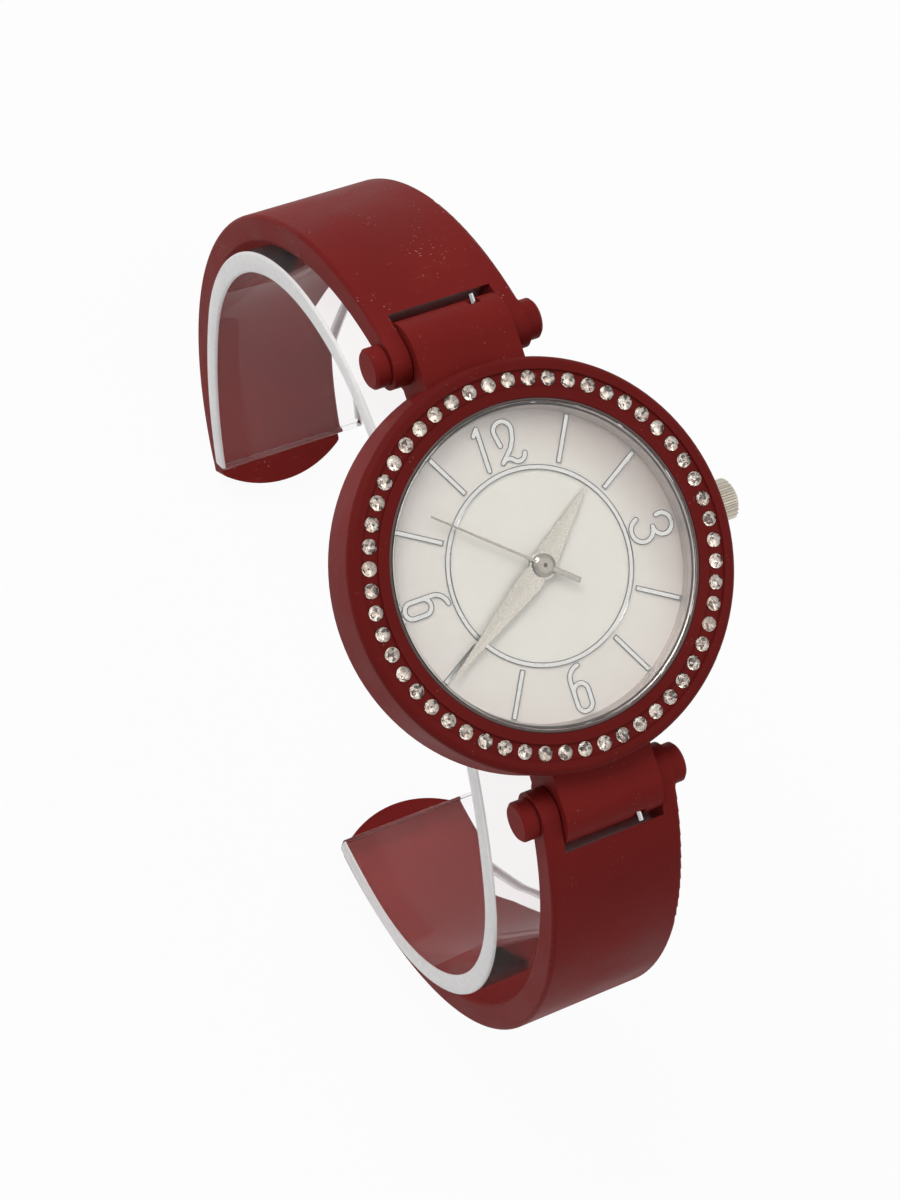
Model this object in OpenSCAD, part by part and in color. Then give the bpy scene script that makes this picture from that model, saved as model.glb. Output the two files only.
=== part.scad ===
// Bangle watch: round quartz watch head with a stone-set edge, two sprung
// cuff arms on pin hinges, and the clear insert that holds the cuff open.
// X runs to the crown at 3 o'clock, Y to 12 o'clock, Z out of the dial.
// The origin lies under the middle of the object, at the height of the arm tips.

/* [Case] */

// outside radius of the case
case_r = 19; // [18.4:0.1:20]
// height of the case side, from its top face to its lower edge
case_depth = 5.6; // [5.4:0.1:6.2]
// rounding of the upper outside edge of the case
case_edge_r = 0.7; // [0.3:0.1:0.9]
// width of the rim that carries the stones, from the case side to the glass opening
bezel_w = 3.8; // [3.6:0.05:4.6]
// width of the grey gasket ring round the glass
gasket_w = 0.3; // [0.25:0.05:0.6]
// thickness of the watch glass at its edge
glass_t = 0.75; // [0.6:0.05:0.9]
// rise of the slightly domed glass at its middle
glass_rise = 0.15; // [0.1:0.05:0.3]
// height of the case back below the case
back_depth = 2.2; // [2:0.1:2.2]
// step in from the case side to the edge of the case back
back_inset = 1.8; // [1.6:0.05:1.9]

/* [Stones] */

// number of stones in the ring
stone_count = 54; // [40:1:58]
// distance from the case side to the circle that the stones sit on
stone_inset = 2; // [1.8:0.05:2.3]
// diameter of one stone
stone_d = 1.4; // [1.2:0.05:1.5]

/* [Dial] */

// depth of the dial below the top face of the case
dial_drop = 2; // [1.95:0.05:2.2]
// thickness of the dial
dial_t = 0.4; // [0.3:0.05:0.5]
// radius of the raised circle, as a share of the open dial
ring_share = 0.63; // [0.55:0.01:0.66]
// width of the strokes of the raised markers
marker_w = 0.5; // [0.4:0.05:0.6]
// height of the raised markers above the dial
marker_h = 0.15; // [0.1:0.01:0.18]
// gap from the raised circle to the hour bars
bar_gap = 0.35; // [0.2:0.05:0.8]
// gap from the hour bars to the flange ring
bar_margin = 0.1; // [0.05:0.05:1]
// width of a numeral as a share of its height
numeral_share = 0.52; // [0.45:0.01:0.6]

/* [Hands] */

// time shown, in minutes after twelve
clock_minutes = 99.86; // [0:0.01:720]
// length of the hour hand as a share of the open dial
hour_share = 0.6; // [0.5:0.01:0.65]
// length of the minute hand as a share of the open dial
minute_share = 0.95; // [0.8:0.01:0.97]
// length of the second hand as a share of the open dial
second_share = 0.82; // [0.7:0.01:0.95]
// length of the tail of the second hand as a share of the open dial
tail_share = 0.26; // [0.15:0.01:0.32]
// thickness of the hour and minute hands
hand_t = 0.15; // [0.12:0.01:0.17]

/* [Movement] */

// radius of the quartz movement
movement_r = 10; // [9.8:0.1:10.6]
// diameter of the button cell
battery_d = 6.8; // [5.8:0.1:7]
// height of the button cell
battery_h = 2.6; // [1.6:0.1:2.7]

/* [Crown] */

// diameter of the crown
crown_d = 4; // [3.4:0.1:4.4]
// length of the crown
crown_len = 2.15; // [1.9:0.05:2.6]
// number of grooves round the crown
crown_flutes = 24; // [16:1:30]
// depth of the crown axis below the top face of the case
crown_drop = 3.9; // [3.8:0.05:4]

/* [Hinges] */

// distance from the case side to a hinge axis
hinge_out = 2.69; // [2.6:0.05:3.2]
// depth of the hinge axes below the top face of the case
hinge_drop = 5.39; // [5.2:0.05:5.5]
// radius of the hinge pins
pin_r = 0.75; // [0.6:0.05:0.85]
// running clearance of a pin in its knuckle
pin_clear = 0.05; // [0.02:0.01:0.1]
// half width of the knuckle that stands out from the case
knuckle_half = 5.1; // [4.9:0.1:5.2]
// radius of the knuckle round the hinge axis
knuckle_r = 3.4; // [3:0.1:3.5]
// radius of the arm eyes round the hinge axis
eye_r = 2.42; // [2.2:0.02:2.5]
// radius of the end caps of the pins
cap_r = 1.95; // [1.6:0.05:2.2]
// length of an end cap
cap_len = 1.5; // [1.2:0.1:1.8]
// diameter of the spring wire
wire_d = 0.5; // [0.4:0.02:0.5]
// mean radius of the spring coil
coil_r = 1.35; // [1.3:0.05:1.4]
// advance of the spring coil over one turn
coil_pitch = 0.95; // [0.92:0.01:1.02]

/* [Arms] */

// outside radius of a cuff arm
arm_outer_r = 33.06; // [33:0.02:34]
// thickness of a cuff arm
arm_wall = 2.9; // [2.6:0.05:2.95]
// half width of a cuff arm
arm_half = 7.04; // [6.9:0.02:7.4]
// rounding of the long edges of a cuff arm
arm_edge_r = 0.45; // [0.2:0.05:0.8]
// angle of the hinge on the arc of an arm, up from its middle
hinge_angle = 59.4; // [58:0.2:60]
// angle of the tip on the arc of an arm, down from its middle
tip_angle = 79; // [76:0.5:82]
// radius of the shallow arc that ends each arm
tip_round_r = 11; // [9:0.5:14]
// rounding of the corners where that arc meets the arm's sides
tip_corner_r = 1.6; // [0.8:0.1:3]
// angle the upper arm is swung out by the insert
upper_swing = 2.78; // [2.7:0.02:4]
// angle the lower arm is swung out by the insert
lower_swing = 12.07; // [12:0.02:14]

/* [Clear insert] */

// wall of the clear insert
insert_wall = 2.1; // [1.6:0.1:2.4]
// half width of the clear insert
insert_half = 8.4; // [7.6:0.1:9]
// clearance between the insert and the arms
insert_gap = 0.4; // [0.3:0.02:0.6]
// clearance between the insert and the case back
insert_top_gap = 0.36; // [0.3:0.02:0.8]
// radius of the insert sides as a share of the inside radius of an arm
side_share = 0.75; // [0.72:0.005:0.77]
// height angle at which the insert comes nearest to the upper arm
upper_touch = 4.5; // [3:0.5:8]
// height angle at which the insert comes nearest to the lower arm
lower_touch = -27; // [-30:0.5:-25]
// radius of the insert back as a share of the radius of its sides
rear_share = 2.04; // [1.9:0.02:2.2]

/* [Hidden] */

// smoothness of round parts
$fn = 96;
// small overrun of cutters past a face
over = 0.02;
// play between pieces that are fitted together by hand
fit_gap = 0.05;
// underside of the glass and its gasket
glass_seat_z = 0.1 - glass_t;
// radius of the opening for glass and gasket, and of the glass
opening_r = case_r - bezel_w;
glass_r = opening_r - gasket_w;
// radius of the case back and of the circle of stones
back_r = case_r - back_inset;
stone_ring_r = case_r - stone_inset;
// radius of the bore that holds ring, dial and movement holder
bore_r = opening_r - 0.25;
// inner radius of the flange ring at the dial and at the glass
flange_dial_r = bore_r - 0.65;
flange_glass_r = bore_r - 0.4;
// heights of the dial faces
dial_top_z = -dial_drop;
dial_under_z = -dial_drop - dial_t;
// radius of the dial and of its raised circle
dial_r = bore_r - 0.15;
ring_r = flange_dial_r * ring_share;
// outer edge of the raised circle, and inner and outer end of the hour bars
ring_out_r = ring_r + marker_w / 2;
bar_in = ring_out_r + bar_gap;
bar_out = flange_dial_r - bar_margin;
// numerals between the raised circle and the flange ring
numeral_h = bar_out - ring_out_r - 0.2;
numeral_w = numeral_h * numeral_share;
// steps of an arc in the numerals
arc_steps = 14;
// lengths of the hands
hour_len = flange_dial_r * hour_share;
minute_len = flange_dial_r * minute_share;
second_len = flange_dial_r * second_share;
second_tail = flange_dial_r * tail_share;
// hub radius and greatest half width of the hour and minute hands
hand_hub_r = 1.35;
hand_half = 1.14;
// half width of the second hand's needle and tail, and radius of its hub
needle_half = 0.13;
tail_half = 0.24;
second_hub_r = 1.1;
// lower edge of the case and outer face of the case back
case_low_z = -case_depth;
back_low_z = -case_depth - back_depth;
// inside face of the case back
back_in_z = back_low_z + 1.2;
// outside radius of the crown tube
tube_r = 0.95;
// inside radius of the case back, and its snap rim that ends under the crown tube
back_cup_r = bore_r + 0.1;
rim_r = back_r - 0.95;
rim_h = case_depth - crown_drop - tube_r - 0.15;
// groove of the case back gasket
back_gasket_in = rim_r + 0.2;
back_gasket_out = back_r - 0.15;
back_gasket_h = 0.4;
// heights of the movement, from dial side to case back side
plate_top_z = dial_under_z;
plate_low_z = back_in_z + 1;
bridge_t = 0.35;
bridge_low_z = plate_low_z - bridge_t;
board_t = 0.2;
wheel_room_z = plate_top_z - 0.9;
// radii of the nested tubes that carry the hands
arbor_r = 0.25;
cannon_in_r = arbor_r + fit_gap;
cannon_r = 0.62;
hour_in_r = cannon_r + fit_gap;
hour_r = 1;
dial_hole_r = hour_r + 0.1;
// heights of the hands
hour_z = dial_top_z + 0.3;
minute_z = hour_z + 0.35;
second_z = minute_z + 0.34;
second_t = 0.1;
second_top_z = second_z + 0.15;
// angles of the hands, clockwise from twelve
minute_turn = clock_minutes * 6;
hour_turn = clock_minutes / 2;
second_turn = (clock_minutes - floor(clock_minutes)) * 360;
// train room in the plate and its wheels
train_r = 2.2;
train_top_z = plate_low_z + 1.7;
// place of the button cell
battery_r = battery_d / 2;
battery_x = -4.9;
battery_y = -3.3;
battery_low_z = bridge_low_z - fit_gap;
// half width of the cell's clip and its outer end, just inside the edge of the plate
clip_half = 0.6;
clip_out_x = 0.3 - sqrt(pow(movement_r, 2) - pow(battery_y - clip_half, 2));
// coil of the stepping motor
coil_x = -1;
coil_y = 6;
bobbin_len = 7;
bobbin_r = 0.9;
bobbin_z = plate_low_z + bobbin_r + 0.05;
// movement screws
screw_ring_r = movement_r - 1.7;
screw_angles = [45, 150, 290];
screw_r = 0.35;
screw_head_r = 0.65;
// crown, stem and tube
crown_z = -crown_drop;
crown_gap = 0.35;
crown_x = case_r + crown_gap;
crown_end_x = crown_x + crown_len;
crown_pull = 1;
stem_r = 0.42;
stem_in_x = movement_r - 4.6;
stem_groove_x = movement_r - 2.65;
stem_groove_w = 0.4;
stem_groove_r = 0.24;
lever_t = 0.3;
tube_in_r = stem_r + 0.24;
tube_end_x = case_r + 0.5;
// hinge axes
hinge_y = case_r + hinge_out;
hinge_z = -hinge_drop;
// side play between knuckle and arm eyes
side_gap = 0.15;
slot_half = knuckle_half + side_gap;
slot_r = knuckle_r + 0.8;
// cap seats on the pin ends
cap_gap = 0.1;
cap_bore = 1.1;
pin_half = arm_half + cap_gap + cap_bore;
// spring in the knuckle
wire_r = wire_d / 2;
coil_turns = 3;
coil_start_x = 2.7;
coil_end_x = coil_start_x - coil_turns * coil_pitch;
room_r = coil_r + wire_r + 0.3;
room_hi_x = coil_start_x + wire_r + 0.35;
room_lo_x = coil_end_x - wire_r - 0.35;
leg_reach = sqrt(pow(slot_r - 0.2, 2) - pow(coil_r, 2));
anchor_reach = sqrt(pow(room_r - 0.08, 2) - pow(coil_r + wire_r, 2));
coil_steps = 14;
wire_sides = 6;
// arms
arm_inner_r = arm_outer_r - arm_wall;
arm_pole = arm_outer_r - eye_r;
// how far the tip's arc reaches past the sides, and the angle on the arm where it starts
tip_sag = tip_round_r - sqrt(pow(tip_round_r, 2) - pow(arm_half, 2));
corner_angle = tip_angle - asin(tip_sag / arm_outer_r);
// direction in which a rounded corner meets the tip's arc
corner_lean = asin((arm_half - tip_corner_r) / (tip_round_r - tip_corner_r));
// small angle left where a rounded corner meets the arm's side, as a length
tip_corner_rest = 0.12;
// centre of an arm arc from its hinge, with the arm swung out by a given angle
function arc_y(s) = -arm_pole * cos(hinge_angle + s);
function arc_z(s) = -arm_pole * sin(hinge_angle + s);
// height of the tip of an arm
function tip_z(s) = hinge_z + arc_z(s) - arm_outer_r * sin(tip_angle - s);
// outermost reach of an arm
function reach_y(s) = hinge_y + arc_y(s) + arm_outer_r;
upper_reach = reach_y(upper_swing);
lower_reach = reach_y(lower_swing);
low_z = min(tip_z(upper_swing), tip_z(lower_swing));
// shift that brings the middle of the underside to the origin
shift_x = (case_r - crown_end_x) / 2;
shift_y = (lower_reach - upper_reach) / 2;
shift_z = -low_z;
// clear insert: its two side arcs lie inside the arms
side_r = arm_inner_r * side_share;
rear_r = side_r * rear_share;
side_off = arm_inner_r - insert_gap - side_r;
upper_cy = hinge_y + arc_y(upper_swing) + side_off * cos(upper_touch);
upper_cz = hinge_z + arc_z(upper_swing) + side_off * sin(upper_touch);
lower_cy = -hinge_y - arc_y(lower_swing) - side_off * cos(lower_touch);
lower_cz = hinge_z + arc_z(lower_swing) + side_off * sin(lower_touch);
// its front arc touches both side arcs and passes under the case back
side_half = norm([upper_cy - lower_cy, upper_cz - lower_cz]) / 2;
front_tilt = atan2(upper_cz - lower_cz, upper_cy - lower_cy);
front_rise = back_low_z - insert_top_gap - (upper_cz + lower_cz) / 2 - side_r;
rise_cos = front_rise * cos(front_tilt);
front_drop = (pow(side_half, 2) - pow(front_rise, 2))
    / (rise_cos + sqrt(pow(rise_cos, 2) - pow(sin(front_tilt), 2) * (pow(side_half, 2) - pow(front_rise, 2))));
front_r = side_r + norm([side_half, front_drop]);
front_cy = (upper_cy + lower_cy) / 2 + front_drop * sin(front_tilt);
front_cz = (upper_cz + lower_cz) / 2 - front_drop * cos(front_tilt);
// angles from the upright at which its arcs meet and end, on each side
upper_front = atan2(upper_cy - front_cy, upper_cz - front_cz);
lower_front = atan2(front_cy - lower_cy, lower_cz - front_cz);
upper_rear = 125;
upper_end = 150;
lower_rear = 144.5;
lower_end = 153;

// moves a piece drawn from the dial centre into the shared frame
module placed() {
    translate([shift_x, shift_y, shift_z]) children();
}

// stands a plan drawn as (Y, Z) up, with its thickness along X
module sideways() {
    rotate([90, 0, 90]) children();
}

// a length of round bar along X
module x_bar(x1, x2, r) {
    translate([x1, 0, 0]) rotate([0, 90, 0]) cylinder(r = r, h = x2 - x1);
}

// a plan ring
module plan_ring(r_out, r_in) {
    difference() {
        circle(r = r_out);
        circle(r = r_in);
    }
}

// points along an arc between two angles
function arc_line(cx, cy, r, a1, a2) =
    [for (i = [0:arc_steps]) let (a = a1 + (a2 - a1) * i / arc_steps) [cx + r * cos(a), cy + r * sin(a)]];

// direction of a line at one of its points
function line_dir(p, i) = let (a = p[max(i - 1, 0)], b = p[min(i + 1, len(p) - 1)]) (b - a) / norm(b - a);

// one point beside a line, at an angle from its direction
function beside(p, i, a, w) = let (d = line_dir(p, i)) p[i] + w / 2 * (d * cos(a) + [-d[1], d[0]] * sin(a));

// outline of a line of width w with round ends
function line_outline(p, w) = let (n = len(p) - 1) concat(
    [for (i = [0:n]) beside(p, i, 90, w)],
    [for (a = [60:-30:-60]) beside(p, n, a, w)],
    [for (i = [n:-1:0]) beside(p, i, -90, w)],
    [for (a = [-120:-30:-240]) beside(p, 0, a, w)]);

// plan of a line of the numerals
module pen(p) {
    polygon(line_outline(p, marker_w));
}

// a rectangle with rounded corners, from its lower left corner
module soft_rect(w, h, r) {
    translate([r, 0]) square([w - 2 * r, h]);
    translate([0, r]) square([w, h - 2 * r]);
    for (x = [r, w - r], y = [r, h - r]) {
        translate([x, y]) circle(r = r, $fn = 32);
    }
}

// repeats a piece at every stone
module at_stones() {
    for (i = [0:stone_count - 1]) {
        rotate([0, 0, 90 + i * 360 / stone_count]) translate([stone_ring_r, 0, 0]) children();
    }
}

// half section of the case ring
module case_section() {
    difference() {
        union() {
            translate([rim_r - 3, case_low_z]) square([case_r - rim_r + 3, case_depth - case_edge_r]);
            translate([rim_r - 3, case_low_z]) square([case_r - case_edge_r - rim_r + 3, case_depth]);
            translate([case_r - case_edge_r, -case_edge_r]) circle(r = case_edge_r, $fn = 48);
        }
        translate([0, glass_seat_z]) square([opening_r, 5]);
        translate([0, case_low_z - 1]) square([bore_r, case_depth + 2]);
        translate([0, case_low_z - 1]) square([rim_r + fit_gap, 1 + rim_h + fit_gap]);
        translate([back_gasket_in, case_low_z - 1]) square([back_gasket_out - back_gasket_in, 1 + back_gasket_h]);
        translate([stone_ring_r - stone_d / 2 - 0.1, -0.24]) square([stone_d + 0.2, 1]);
    }
}

// side plan of the knuckle, with the hinge axis at zero
module knuckle_plan() {
    root = hinge_y - back_r - 0.25;
    circle(r = knuckle_r);
    translate([-root, -2.1]) square([root, knuckle_r + 2.1]);
}

// knuckle at 12 o'clock before boring
module knuckle() {
    translate([0, hinge_y, hinge_z]) {
        difference() {
            sideways() linear_extrude(2 * knuckle_half, center = true) knuckle_plan();
            x_bar(-knuckle_half - 1, knuckle_half + 1, pin_r + pin_clear);
            x_bar(room_lo_x, room_hi_x, room_r);
            translate([room_lo_x, -room_r, -knuckle_r - 1]) cube([room_hi_x - room_lo_x, 2 * room_r, knuckle_r + 1]);
            translate([coil_start_x - wire_r - 0.35, 0, coil_r - wire_r - 0.3])
                cube([wire_d + 0.7, knuckle_r + 1, wire_d + 0.6]);
        }
    }
}

module case_body() {
    color([0.35, 0.05, 0.06]) placed() {
        difference() {
            union() {
                rotate_extrude() case_section();
                knuckle();
                mirror([0, 1, 0]) knuckle();
            }
            at_stones() translate([0, 0, -0.9]) cylinder(d = stone_d + 0.06, h = 1, $fn = 32);
            translate([0, 0, crown_z]) x_bar(bore_r - 1.5, case_r + 1, tube_r);
        }
    }
}

module bezel_stones() {
    color([0.92, 0.94, 0.97]) placed() {
        at_stones() {
            translate([0, 0, -0.24]) cylinder(d1 = stone_d, d2 = stone_d * 0.6, h = 0.24, $fn = 32);
            translate([0, 0, -0.3]) cylinder(d = stone_d, h = 0.07, $fn = 32);
            translate([0, 0, -0.88]) cylinder(d1 = 0.2, d2 = stone_d, h = 0.59, $fn = 32);
        }
    }
}

module glass() {
    rings = 6;
    dome = [for (i = [rings:-1:0]) [glass_r * i / rings, 0.1 + glass_rise * (1 - pow(i / rings, 2))]];
    color([0.9, 0.95, 1, 0.35]) placed() {
        rotate_extrude() polygon(concat([[0, glass_seat_z], [glass_r, glass_seat_z]], dome));
    }
}

module glass_gasket() {
    color([0.45, 0.45, 0.47]) placed() {
        rotate_extrude() translate([glass_r, glass_seat_z]) square([gasket_w, glass_t - 0.1]);
    }
}

module flange_ring() {
    mid_z = (glass_seat_z + dial_top_z) / 2;
    mid_r = (flange_dial_r + flange_glass_r) / 2;
    color([0.78, 0.77, 0.75]) placed() {
        rotate_extrude() {
            polygon([[flange_dial_r, dial_top_z], [bore_r - 0.03, dial_top_z], [bore_r - 0.03, glass_seat_z],
                     [flange_glass_r, glass_seat_z], [flange_glass_r, glass_seat_z - 0.25],
                     [mid_r, mid_z + 0.1], [mid_r, mid_z - 0.1], [flange_dial_r, dial_top_z + 0.25]]);
        }
    }
}

module dial() {
    color([0.87, 0.85, 0.82]) placed() {
        difference() {
            translate([0, 0, dial_under_z]) cylinder(r = dial_r, h = dial_t);
            translate([0, 0, dial_under_z - 1]) cylinder(r = dial_hole_r, h = dial_t + 2);
        }
    }
}

module dial_circle() {
    color([0.8, 0.8, 0.8]) placed() {
        translate([0, 0, dial_top_z]) linear_extrude(marker_h) plan_ring(ring_r + marker_w / 2, ring_r - marker_w / 2);
    }
}

module hour_bars() {
    color([0.8, 0.8, 0.8]) placed() {
        for (h = [1, 2, 4, 5, 7, 8, 10, 11]) {
            rotate([0, 0, -30 * h]) translate([-marker_w / 2, bar_in, dial_top_z])
                cube([marker_w, bar_out - bar_in, marker_h]);
        }
    }
}

// plan of the digit one of a given height, centred
module digit_one(h) {
    top = (h - marker_w) / 2;
    pen([[0, -top], [0, top]]);
    pen([[-0.45, top - 0.55], [-0.06, top - 0.06]]);
}

// plan of the digit two of a given height, centred: a hook, a sweep and a waved foot
module digit_two(h) {
    r = numeral_w * 0.46 - marker_w / 2;
    top = (h - marker_w) / 2 - r;
    wave = 0.29 * numeral_w;
    low = -(h - marker_w) / 2 + wave * (1 - sin(40));
    wide = wave * cos(40);
    tall = wave * sin(40);
    pen(concat([[0.25 - r, top - 0.28 * h]], arc_line(0, top, r, 180, -20),
               [[0.75 * r, top - 0.22 * h], [0.3 * r, top - 0.38 * h], [-r, low]]));
    pen(concat(arc_line(wide - r, low - tall, wave, 140, 45), arc_line(3 * wide - r, low + tall, wave, 220, 350)));
}

// plan of the digit three of a given height, centred
module digit_three(h) {
    span = h - marker_w;
    r1 = span * 0.235;
    r2 = span * 0.265;
    pen(arc_line(0, span / 2 - r1, r1, 200, -90));
    pen(arc_line(0, -span / 2 + r2, r2, 90, -165));
}

// plan of the digit six of a given height, centred: a tall loop and a hooked stem
module digit_six(h) {
    r = numeral_w * 0.4 - marker_w / 2;
    low = -(h - marker_w) / 2 + r;
    high = low + 0.24 * h;
    hook_r = 1.75 * r;
    hook_y = (h - marker_w) / 2 - hook_r;
    pen(concat(arc_line(hook_r - r, hook_y, hook_r, 98, 180), arc_line(0, low, r, 180, 290)));
    pen(concat(arc_line(0, low, r, 285, 360), arc_line(0, high, r, 0, 175)));
}

module numerals() {
    mid = (ring_out_r + bar_out) / 2;
    twelve_h = numeral_h - 0.3;
    color([0.8, 0.8, 0.8]) placed() translate([0, 0, dial_top_z]) {
        linear_extrude(marker_h) {
            translate([-1.9, mid - 0.15]) digit_one(twelve_h);
            translate([0.5, mid - 0.15]) digit_two(twelve_h);
            translate([mid, 0]) rotate(-90) digit_three(numeral_h);
            translate([0, -mid]) digit_six(numeral_h);
            translate([-mid, 0]) rotate(90) rotate(180) digit_six(numeral_h);
        }
    }
}

// a long triangular hand that points to twelve, on a round hub with a bore
module leaf_hand(length, bore) {
    wide = length * 0.14;
    difference() {
        union() {
            linear_extrude(hand_t) {
                polygon([[-hand_half, wide], [0, length], [hand_half, wide], [hand_hub_r * 0.6, 0], [-hand_hub_r * 0.6, 0]]);
            }
            cylinder(r = hand_hub_r, h = hand_t, $fn = 48);
        }
        translate([0, 0, -1]) cylinder(r = bore, h = hand_t + 2, $fn = 48);
    }
}

module hour_hand() {
    color([0.8, 0.79, 0.76]) placed() rotate([0, 0, -hour_turn]) translate([0, 0, hour_z])
        leaf_hand(hour_len, hour_r);
}

module minute_hand() {
    color([0.8, 0.79, 0.76]) placed() rotate([0, 0, -minute_turn]) translate([0, 0, minute_z])
        leaf_hand(minute_len, cannon_r);
}

module second_hand() {
    color([0.7, 0.69, 0.66]) placed() rotate([0, 0, -second_turn]) {
        difference() {
            union() {
                translate([-needle_half, 0, second_z]) cube([2 * needle_half, second_len, second_t]);
                translate([-tail_half, -second_tail, second_z]) cube([2 * tail_half, second_tail, second_t]);
                translate([0, 0, second_z]) cylinder(r = second_hub_r, h = second_top_z - second_z, $fn = 48);
            }
            translate([0, 0, second_z - 1]) cylinder(r = arbor_r, h = 3, $fn = 32);
        }
    }
}

module seconds_arbor() {
    color([0.75, 0.7, 0.5]) placed() {
        translate([0, 0, plate_low_z - 0.2]) cylinder(r = arbor_r, h = second_top_z - plate_low_z + 0.2, $fn = 32);
        translate([0, 0, plate_low_z + 0.45]) cylinder(r = train_r - 0.4, h = 0.2);
    }
}

module cannon_pinion() {
    color([0.75, 0.68, 0.42]) placed() {
        difference() {
            union() {
                translate([0, 0, train_top_z - 0.6]) cylinder(r = cannon_r, h = minute_z + hand_t + 0.05 - train_top_z + 0.6);
                translate([0, 0, wheel_room_z + 0.12]) cylinder(r = 1.1, h = 0.25);
                translate([0, 0, train_top_z - 0.6]) cylinder(r = train_r - 0.2, h = 0.2);
            }
            translate([0, 0, plate_low_z - 1]) cylinder(r = cannon_in_r, h = 9, $fn = 32);
        }
    }
}

module hour_wheel() {
    color([0.75, 0.68, 0.42]) placed() {
        difference() {
            union() {
                translate([0, 0, plate_top_z - 0.4]) cylinder(r = hour_r, h = hour_z + hand_t + 0.05 - plate_top_z + 0.4);
                translate([0, 0, plate_top_z - 0.4]) cylinder(r = 2.4, h = 0.28);
            }
            translate([0, 0, plate_top_z - 1]) cylinder(r = hour_in_r, h = 5);
        }
    }
}

module movement_holder() {
    color([0.85, 0.85, 0.83]) placed() {
        difference() {
            translate([0, 0, back_in_z]) cylinder(r = bore_r - 0.1, h = plate_top_z - back_in_z);
            translate([0, 0, back_in_z - 1]) cylinder(r = movement_r + fit_gap, h = 9);
            translate([0, 0, crown_z]) x_bar(movement_r - 1, bore_r + 1, tube_r + 0.1);
        }
    }
}

module main_plate() {
    color([0.7, 0.71, 0.72]) placed() {
        difference() {
            translate([0, 0, plate_low_z]) cylinder(r = movement_r, h = plate_top_z - plate_low_z);
            translate([0, 0, wheel_room_z]) cylinder(r = 2.6, h = 2);
            translate([0, 0, plate_low_z - 1]) cylinder(r = cannon_r + fit_gap, h = 9);
            translate([0, 0, plate_low_z - 1]) cylinder(r = train_r, h = 1 + train_top_z - plate_low_z);
            translate([battery_x, battery_y, plate_low_z - 1])
                cylinder(r = battery_r + 0.1, h = 1 + battery_low_z + battery_h - plate_low_z);
            translate([coil_x - bobbin_len / 2 - 0.1, coil_y - bobbin_r - 0.1, plate_low_z - 1])
                cube([bobbin_len + 0.2, 2 * bobbin_r + 0.2, 1 + 2 * bobbin_r + 0.1]);
            translate([0, 0, crown_z]) x_bar(stem_in_x - 0.2, movement_r + 1, stem_r + fit_gap);
            translate([stem_groove_x - 0.2, -1.5, plate_low_z - 1])
                cube([crown_pull + lever_t + 0.5, 3, 1 + crown_z + stem_r + 0.25 - plate_low_z]);
            at_screws() translate([0, 0, plate_low_z - 1]) cylinder(r = screw_r, h = 2.2, $fn = 32);
        }
    }
}

// repeats a piece at every movement screw
module at_screws() {
    for (a = screw_angles) {
        rotate([0, 0, a]) translate([screw_ring_r, 0, 0]) children();
    }
}

module train_bridge() {
    color([0.76, 0.72, 0.55]) placed() {
        difference() {
            translate([0, 0, bridge_low_z]) cylinder(r = movement_r - 0.3, h = bridge_t);
            translate([battery_x, battery_y, bridge_low_z - 1]) cylinder(r = battery_r + 0.1, h = 3);
            translate([0, 0, bridge_low_z - 1]) cylinder(r = arbor_r + fit_gap, h = 3, $fn = 32);
            at_screws() translate([0, 0, bridge_low_z - 1]) cylinder(r = screw_r + 0.05, h = 3, $fn = 32);
        }
    }
}

module movement_screws() {
    color([0.6, 0.6, 0.62]) placed() {
        at_screws() {
            difference() {
                union() {
                    translate([0, 0, bridge_low_z]) cylinder(r = screw_r, h = bridge_t + 1.1, $fn = 32);
                    translate([0, 0, bridge_low_z - 0.3]) cylinder(r = screw_head_r, h = 0.3, $fn = 32);
                }
                translate([-1, -0.09, bridge_low_z - 1]) cube([2, 0.18, 0.85]);
            }
        }
    }
}

module circuit_board() {
    color([0.1, 0.35, 0.2]) placed() {
        translate([coil_x - 4.2, coil_y - 2.4, bridge_low_z - board_t]) cube([6.6, 4.6, board_t]);
        translate([coil_x - 2, coil_y - 1.6, bridge_low_z - board_t - 0.15]) cube([2.4, 2.4, 0.16]);
    }
}

module motor_coil() {
    color([0.6, 0.3, 0.14]) placed() {
        translate([coil_x, coil_y, bobbin_z]) {
            x_bar(-bobbin_len / 2 + 0.3, bobbin_len / 2 - 0.3, bobbin_r - 0.15);
            x_bar(-bobbin_len / 2, -bobbin_len / 2 + 0.35, bobbin_r);
            x_bar(bobbin_len / 2 - 0.35, bobbin_len / 2, bobbin_r);
        }
    }
}

module battery() {
    color([0.78, 0.78, 0.8]) placed() {
        translate([battery_x, battery_y, battery_low_z]) {
            cylinder(r = battery_r, h = battery_h - 0.35);
            cylinder(r = battery_r - 0.5, h = battery_h);
        }
    }
}

module battery_clip() {
    clip_z = battery_low_z - 0.15;
    color([0.72, 0.72, 0.74]) placed() {
        translate([clip_out_x, battery_y - clip_half, clip_z])
            cube([battery_x + battery_r + 0.9 - clip_out_x, 2 * clip_half, 0.15]);
        translate([battery_x + battery_r + 0.3, battery_y - clip_half, clip_z])
            cube([0.6, 2 * clip_half, bridge_low_z - clip_z]);
    }
}

module setting_lever() {
    half_slot = stem_groove_r + fit_gap;
    color([0.7, 0.7, 0.72]) placed() {
        translate([stem_groove_x + fit_gap, 0, crown_z]) {
            difference() {
                translate([0, -1.4, plate_low_z + 0.1 - crown_z]) cube([lever_t, 2.8, crown_z + stem_r + 0.15 - plate_low_z - 0.1]);
                x_bar(-1, 1, half_slot);
                translate([-1, -half_slot, -5]) cube([2, 2 * half_slot, 5]);
            }
        }
    }
}

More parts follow.
